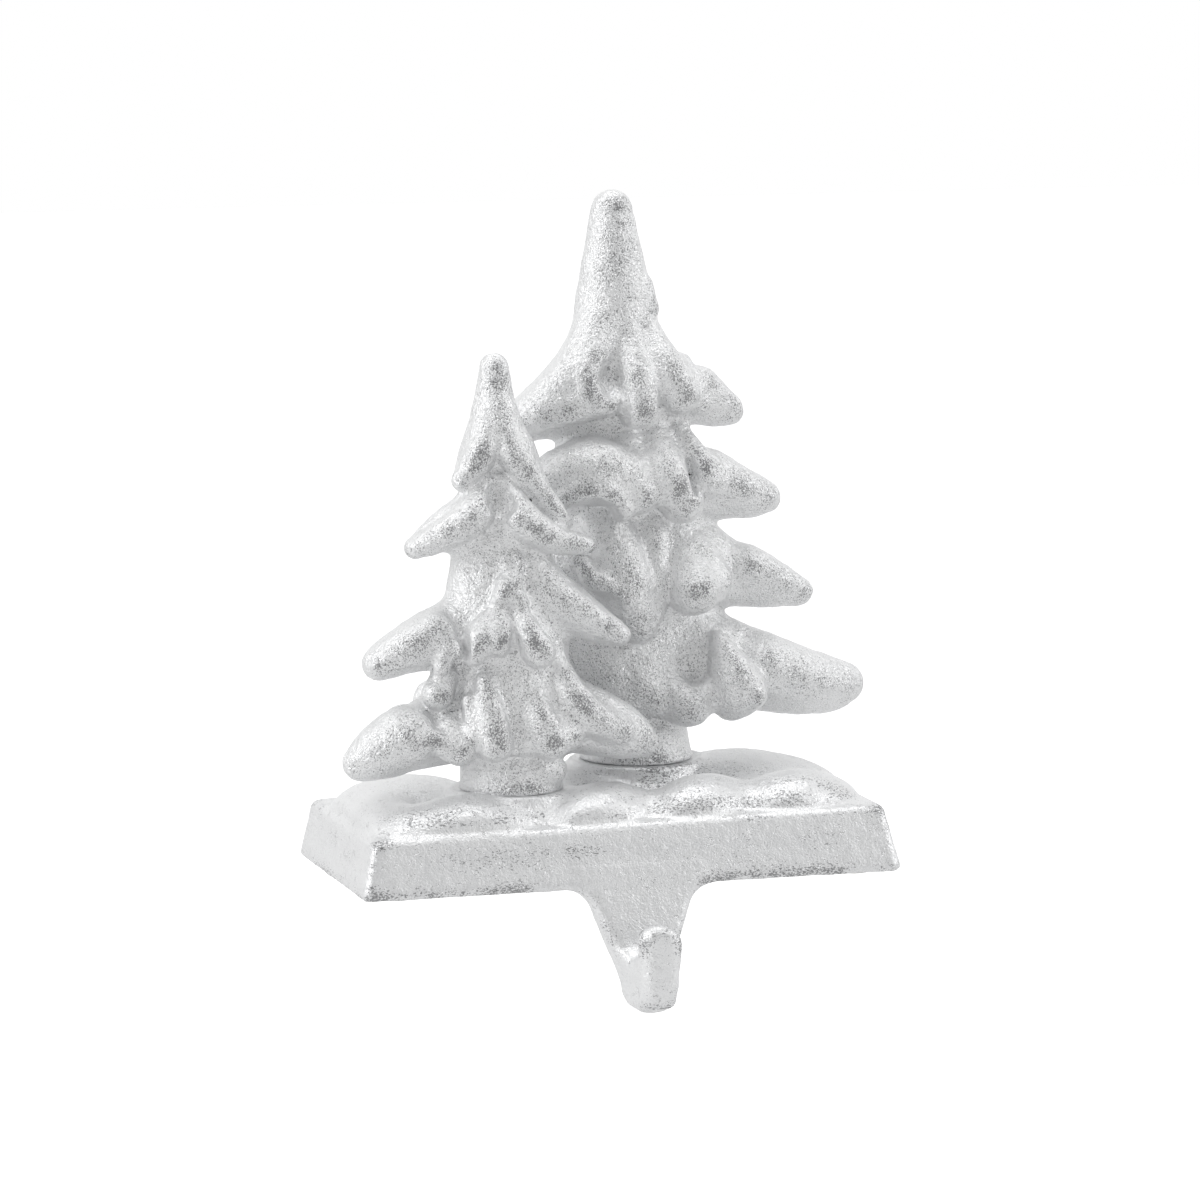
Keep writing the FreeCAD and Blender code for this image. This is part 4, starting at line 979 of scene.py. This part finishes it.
def makePlain(name, colour, metallic, roughness, scale, depth):
    # small fittings: one finish with a fine uneven sheen
    shade, spread = 0.8, 0.08  # how dark and how uneven the flecks are
    material, tree, shader = newMaterial(name)
    coords = tree.nodes.new("ShaderNodeTexCoord").outputs["Object"]
    fleck = noiseNode(tree, coords, scale, detail=3.0, roughness=0.6)
    dark = tuple(part * shade for part in colour[:3]) + (1,)
    tree.links.new(mixColour(tree, fleck, dark, colour), shader.inputs["Base Color"])
    shader.inputs["Metallic"].default_value = metallic
    uneven = stepNode(tree, fleck, 0.3, 0.7, roughness - spread, roughness + spread)
    tree.links.new(uneven, shader.inputs["Roughness"])
    bump = tree.nodes.new("ShaderNodeBump")
    bump.inputs["Distance"].default_value = depth
    tree.links.new(fleck, bump.inputs["Height"])
    tree.links.new(bump.outputs["Normal"], shader.inputs["Normal"])
    return material


zincSteel = makePlain("zinc_steel", (0.62, 0.63, 0.64, 1), 1.0, 0.36, 900.0, 0.00005)
paleRubber = makePlain("pale_rubber", (0.78, 0.77, 0.73, 1), 0.0, 0.7, 700.0, 0.0001)


def dress(piece, material):
    # the piece gets this one material
    piece.data.materials.clear()
    piece.data.materials.append(material)


castings = (
    (smallPiece, "small_tree", treeCoatAndShade),
    (largePiece, "large_tree", treeCoatAndShade),
    (basePiece, "base", baseCoatAndShade),
)
for piece, node, finish in castings:
    dress(piece, finish)
    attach(piece, "root")
    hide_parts(node)
for name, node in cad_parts.items():
    if "screw" in name:
        dress(node, zincSteel)
    elif name.startswith("pad_"):
        dress(node, paleRubber)
print("materials set")

stage = {  # lengths are metres
    "floorDrop": 0.06,  # below the hook's toe
    "floorHalf": 3.0,
    "floorShade": 0.7,
    "floorGloss": 0.35,  # the floor's glow in polished faces
    "floorRoughness": 0.9,
    "world": 0.48,  # light from all round, as in a white tent
    "gapAim": (-0.29, -0.945, 0.146),  # the tent's opening, which polished faces see as a dim patch
    "tent": 0.95,  # the tent's sides, as polished faces see them
    "gapRange": (0.5, 0.97),  # cosines: from here the tent grows dimmer, and here it is dimmest
    "gapLevel": 0.25,
    "behindRange": (0.0, -0.3),  # cosines: from here on back it grows to full white
    "aim": (0, 0.02, 0.07),
    "lamps": {  # place, size, watts
        "left_softbox": ((-0.95, -0.25, 0.45), (0.5, 0.6), 3.5),
        "right_softbox": ((0.95, -0.3, 0.4), (0.4, 0.5), 1.8),
        "top_softbox": ((0.05, 0.0, 1.1), (0.6, 0.6), 2.9),
    },
}


def makeFloor(s):
    # one square below the hook, white to the camera
    level = cadBox[0].z - s["floorDrop"]
    half = s["floorHalf"]
    corners = [(-half, -half, level), (half, -half, level), (half, half, level), (-half, half, level)]
    mesh = bpy.data.meshes.new("floor")
    mesh.from_pydata(corners, [], [(0, 1, 2, 3)])
    floor = addObject("floor", mesh)
    material, tree, shader = newMaterial("pale_floor")
    shader.inputs["Base Color"].default_value = (s["floorShade"],) * 3 + (1,)
    shader.inputs["Roughness"].default_value = s["floorRoughness"]
    rays = tree.nodes.new("ShaderNodeLightPath").outputs
    seen = mathNode(tree, "ADD", rays["Is Camera Ray"], rays["Is Transmission Ray"], clamp=True)
    shiny = mathNode(tree, "MULTIPLY", rays["Is Glossy Ray"], s["floorGloss"])
    shader.inputs["Emission Color"].default_value = (1, 1, 1, 1)
    tree.links.new(mathNode(tree, "ADD", seen, shiny), shader.inputs["Emission Strength"])
    mesh.materials.append(material)


def addLamp(name, spot, aim, size, power):
    # softbox at a spot, turned to its aim
    lamp = bpy.data.lights.new(name, "AREA")
    lamp.shape = "RECTANGLE"
    lamp.size, lamp.size_y = size
    lamp.energy = power
    holder = addObject(name, lamp)
    holder.location = spot
    holder.rotation_euler = (Vector(aim) - Vector(spot)).to_track_quat("-Z", "Y").to_euler()


def makeLight(s):
    # softboxes in a white tent: other rays get the tent's light, the camera sees white, and
    # polished faces see the tent with its dim opening
    for name, (spot, size, power) in s["lamps"].items():
        addLamp(name, spot, s["aim"], size, power)
    world = bpy.data.worlds.new("studio")
    world.use_nodes = True
    tree = world.node_tree
    back = tree.nodes["Background"]
    rays = tree.nodes.new("ShaderNodeLightPath").outputs
    glossy = rays["Is Glossy Ray"]
    toGap = tree.nodes.new("ShaderNodeVectorMath")
    toGap.operation = "DOT_PRODUCT"
    toGap.inputs[1].default_value = s["gapAim"]
    tree.links.new(tree.nodes.new("ShaderNodeTexCoord").outputs["Generated"], toGap.inputs[0])
    cosine = toGap.outputs["Value"]
    tent = stepNode(tree, cosine, *s["gapRange"], s["tent"], s["gapLevel"])
    behind = stepNode(tree, cosine, *s["behindRange"])
    backdrop = mathNode(tree, "MAXIMUM", tent, behind)  # white behind, as the camera sees it
    shiny = mathNode(tree, "MULTIPLY", glossy, backdrop)
    seen = mathNode(tree, "ADD", rays["Is Camera Ray"], rays["Is Transmission Ray"], clamp=True)
    other = mathNode(tree, "SUBTRACT", 1.0, mathNode(tree, "ADD", seen, glossy, clamp=True))
    shown = mathNode(tree, "ADD", seen, shiny)
    strength = mathNode(tree, "ADD", shown, mathNode(tree, "MULTIPLY", other, s["world"]))
    back.inputs["Color"].default_value = (1, 1, 1, 1)
    tree.links.new(strength, back.inputs["Strength"])
    bpy.context.scene.world = world


photoCamera = {
    "target": (0.31, 24.5, 61.69),
    "azimuth": -17.165,
    "elevation": 8.39,
    "distance": 1300.0,
    "focal": 5721.7,  # in pixels of the 1200 pixel photograph
    "frameWidth": 1200.0,
    "sensor": 36.0,
    "clipStart": 0.05,  # metres
    "clipEnd": 50.0,
}


def makeCamera(c):
    # stands back from the target along azimuth and elevation; the focal length in pixels
    # over the photograph's width gives the lens
    azimuth, elevation = math.radians(c["azimuth"]), math.radians(c["elevation"])
    level = math.cos(elevation)
    back = Vector((math.sin(azimuth) * level, -math.cos(azimuth) * level, math.sin(elevation)))
    camera = bpy.data.cameras.new("photo_camera")
    camera.sensor_fit = "HORIZONTAL"
    camera.sensor_width = c["sensor"]
    camera.lens = c["sensor"] * c["focal"] / c["frameWidth"]
    camera.clip_start = c["clipStart"]
    camera.clip_end = c["clipEnd"]
    holder = addObject("photo_camera", camera)
    holder.location = (Vector(c["target"]) + back * c["distance"]) * mm
    holder.rotation_euler = back.to_track_quat("Z", "Y").to_euler()
    bpy.context.scene.camera = holder


makeFloor(stage)
makeLight(stage)
makeCamera(photoCamera)
bpy.context.scene.view_settings.view_transform = "Standard"
print("stage, light and camera ready")
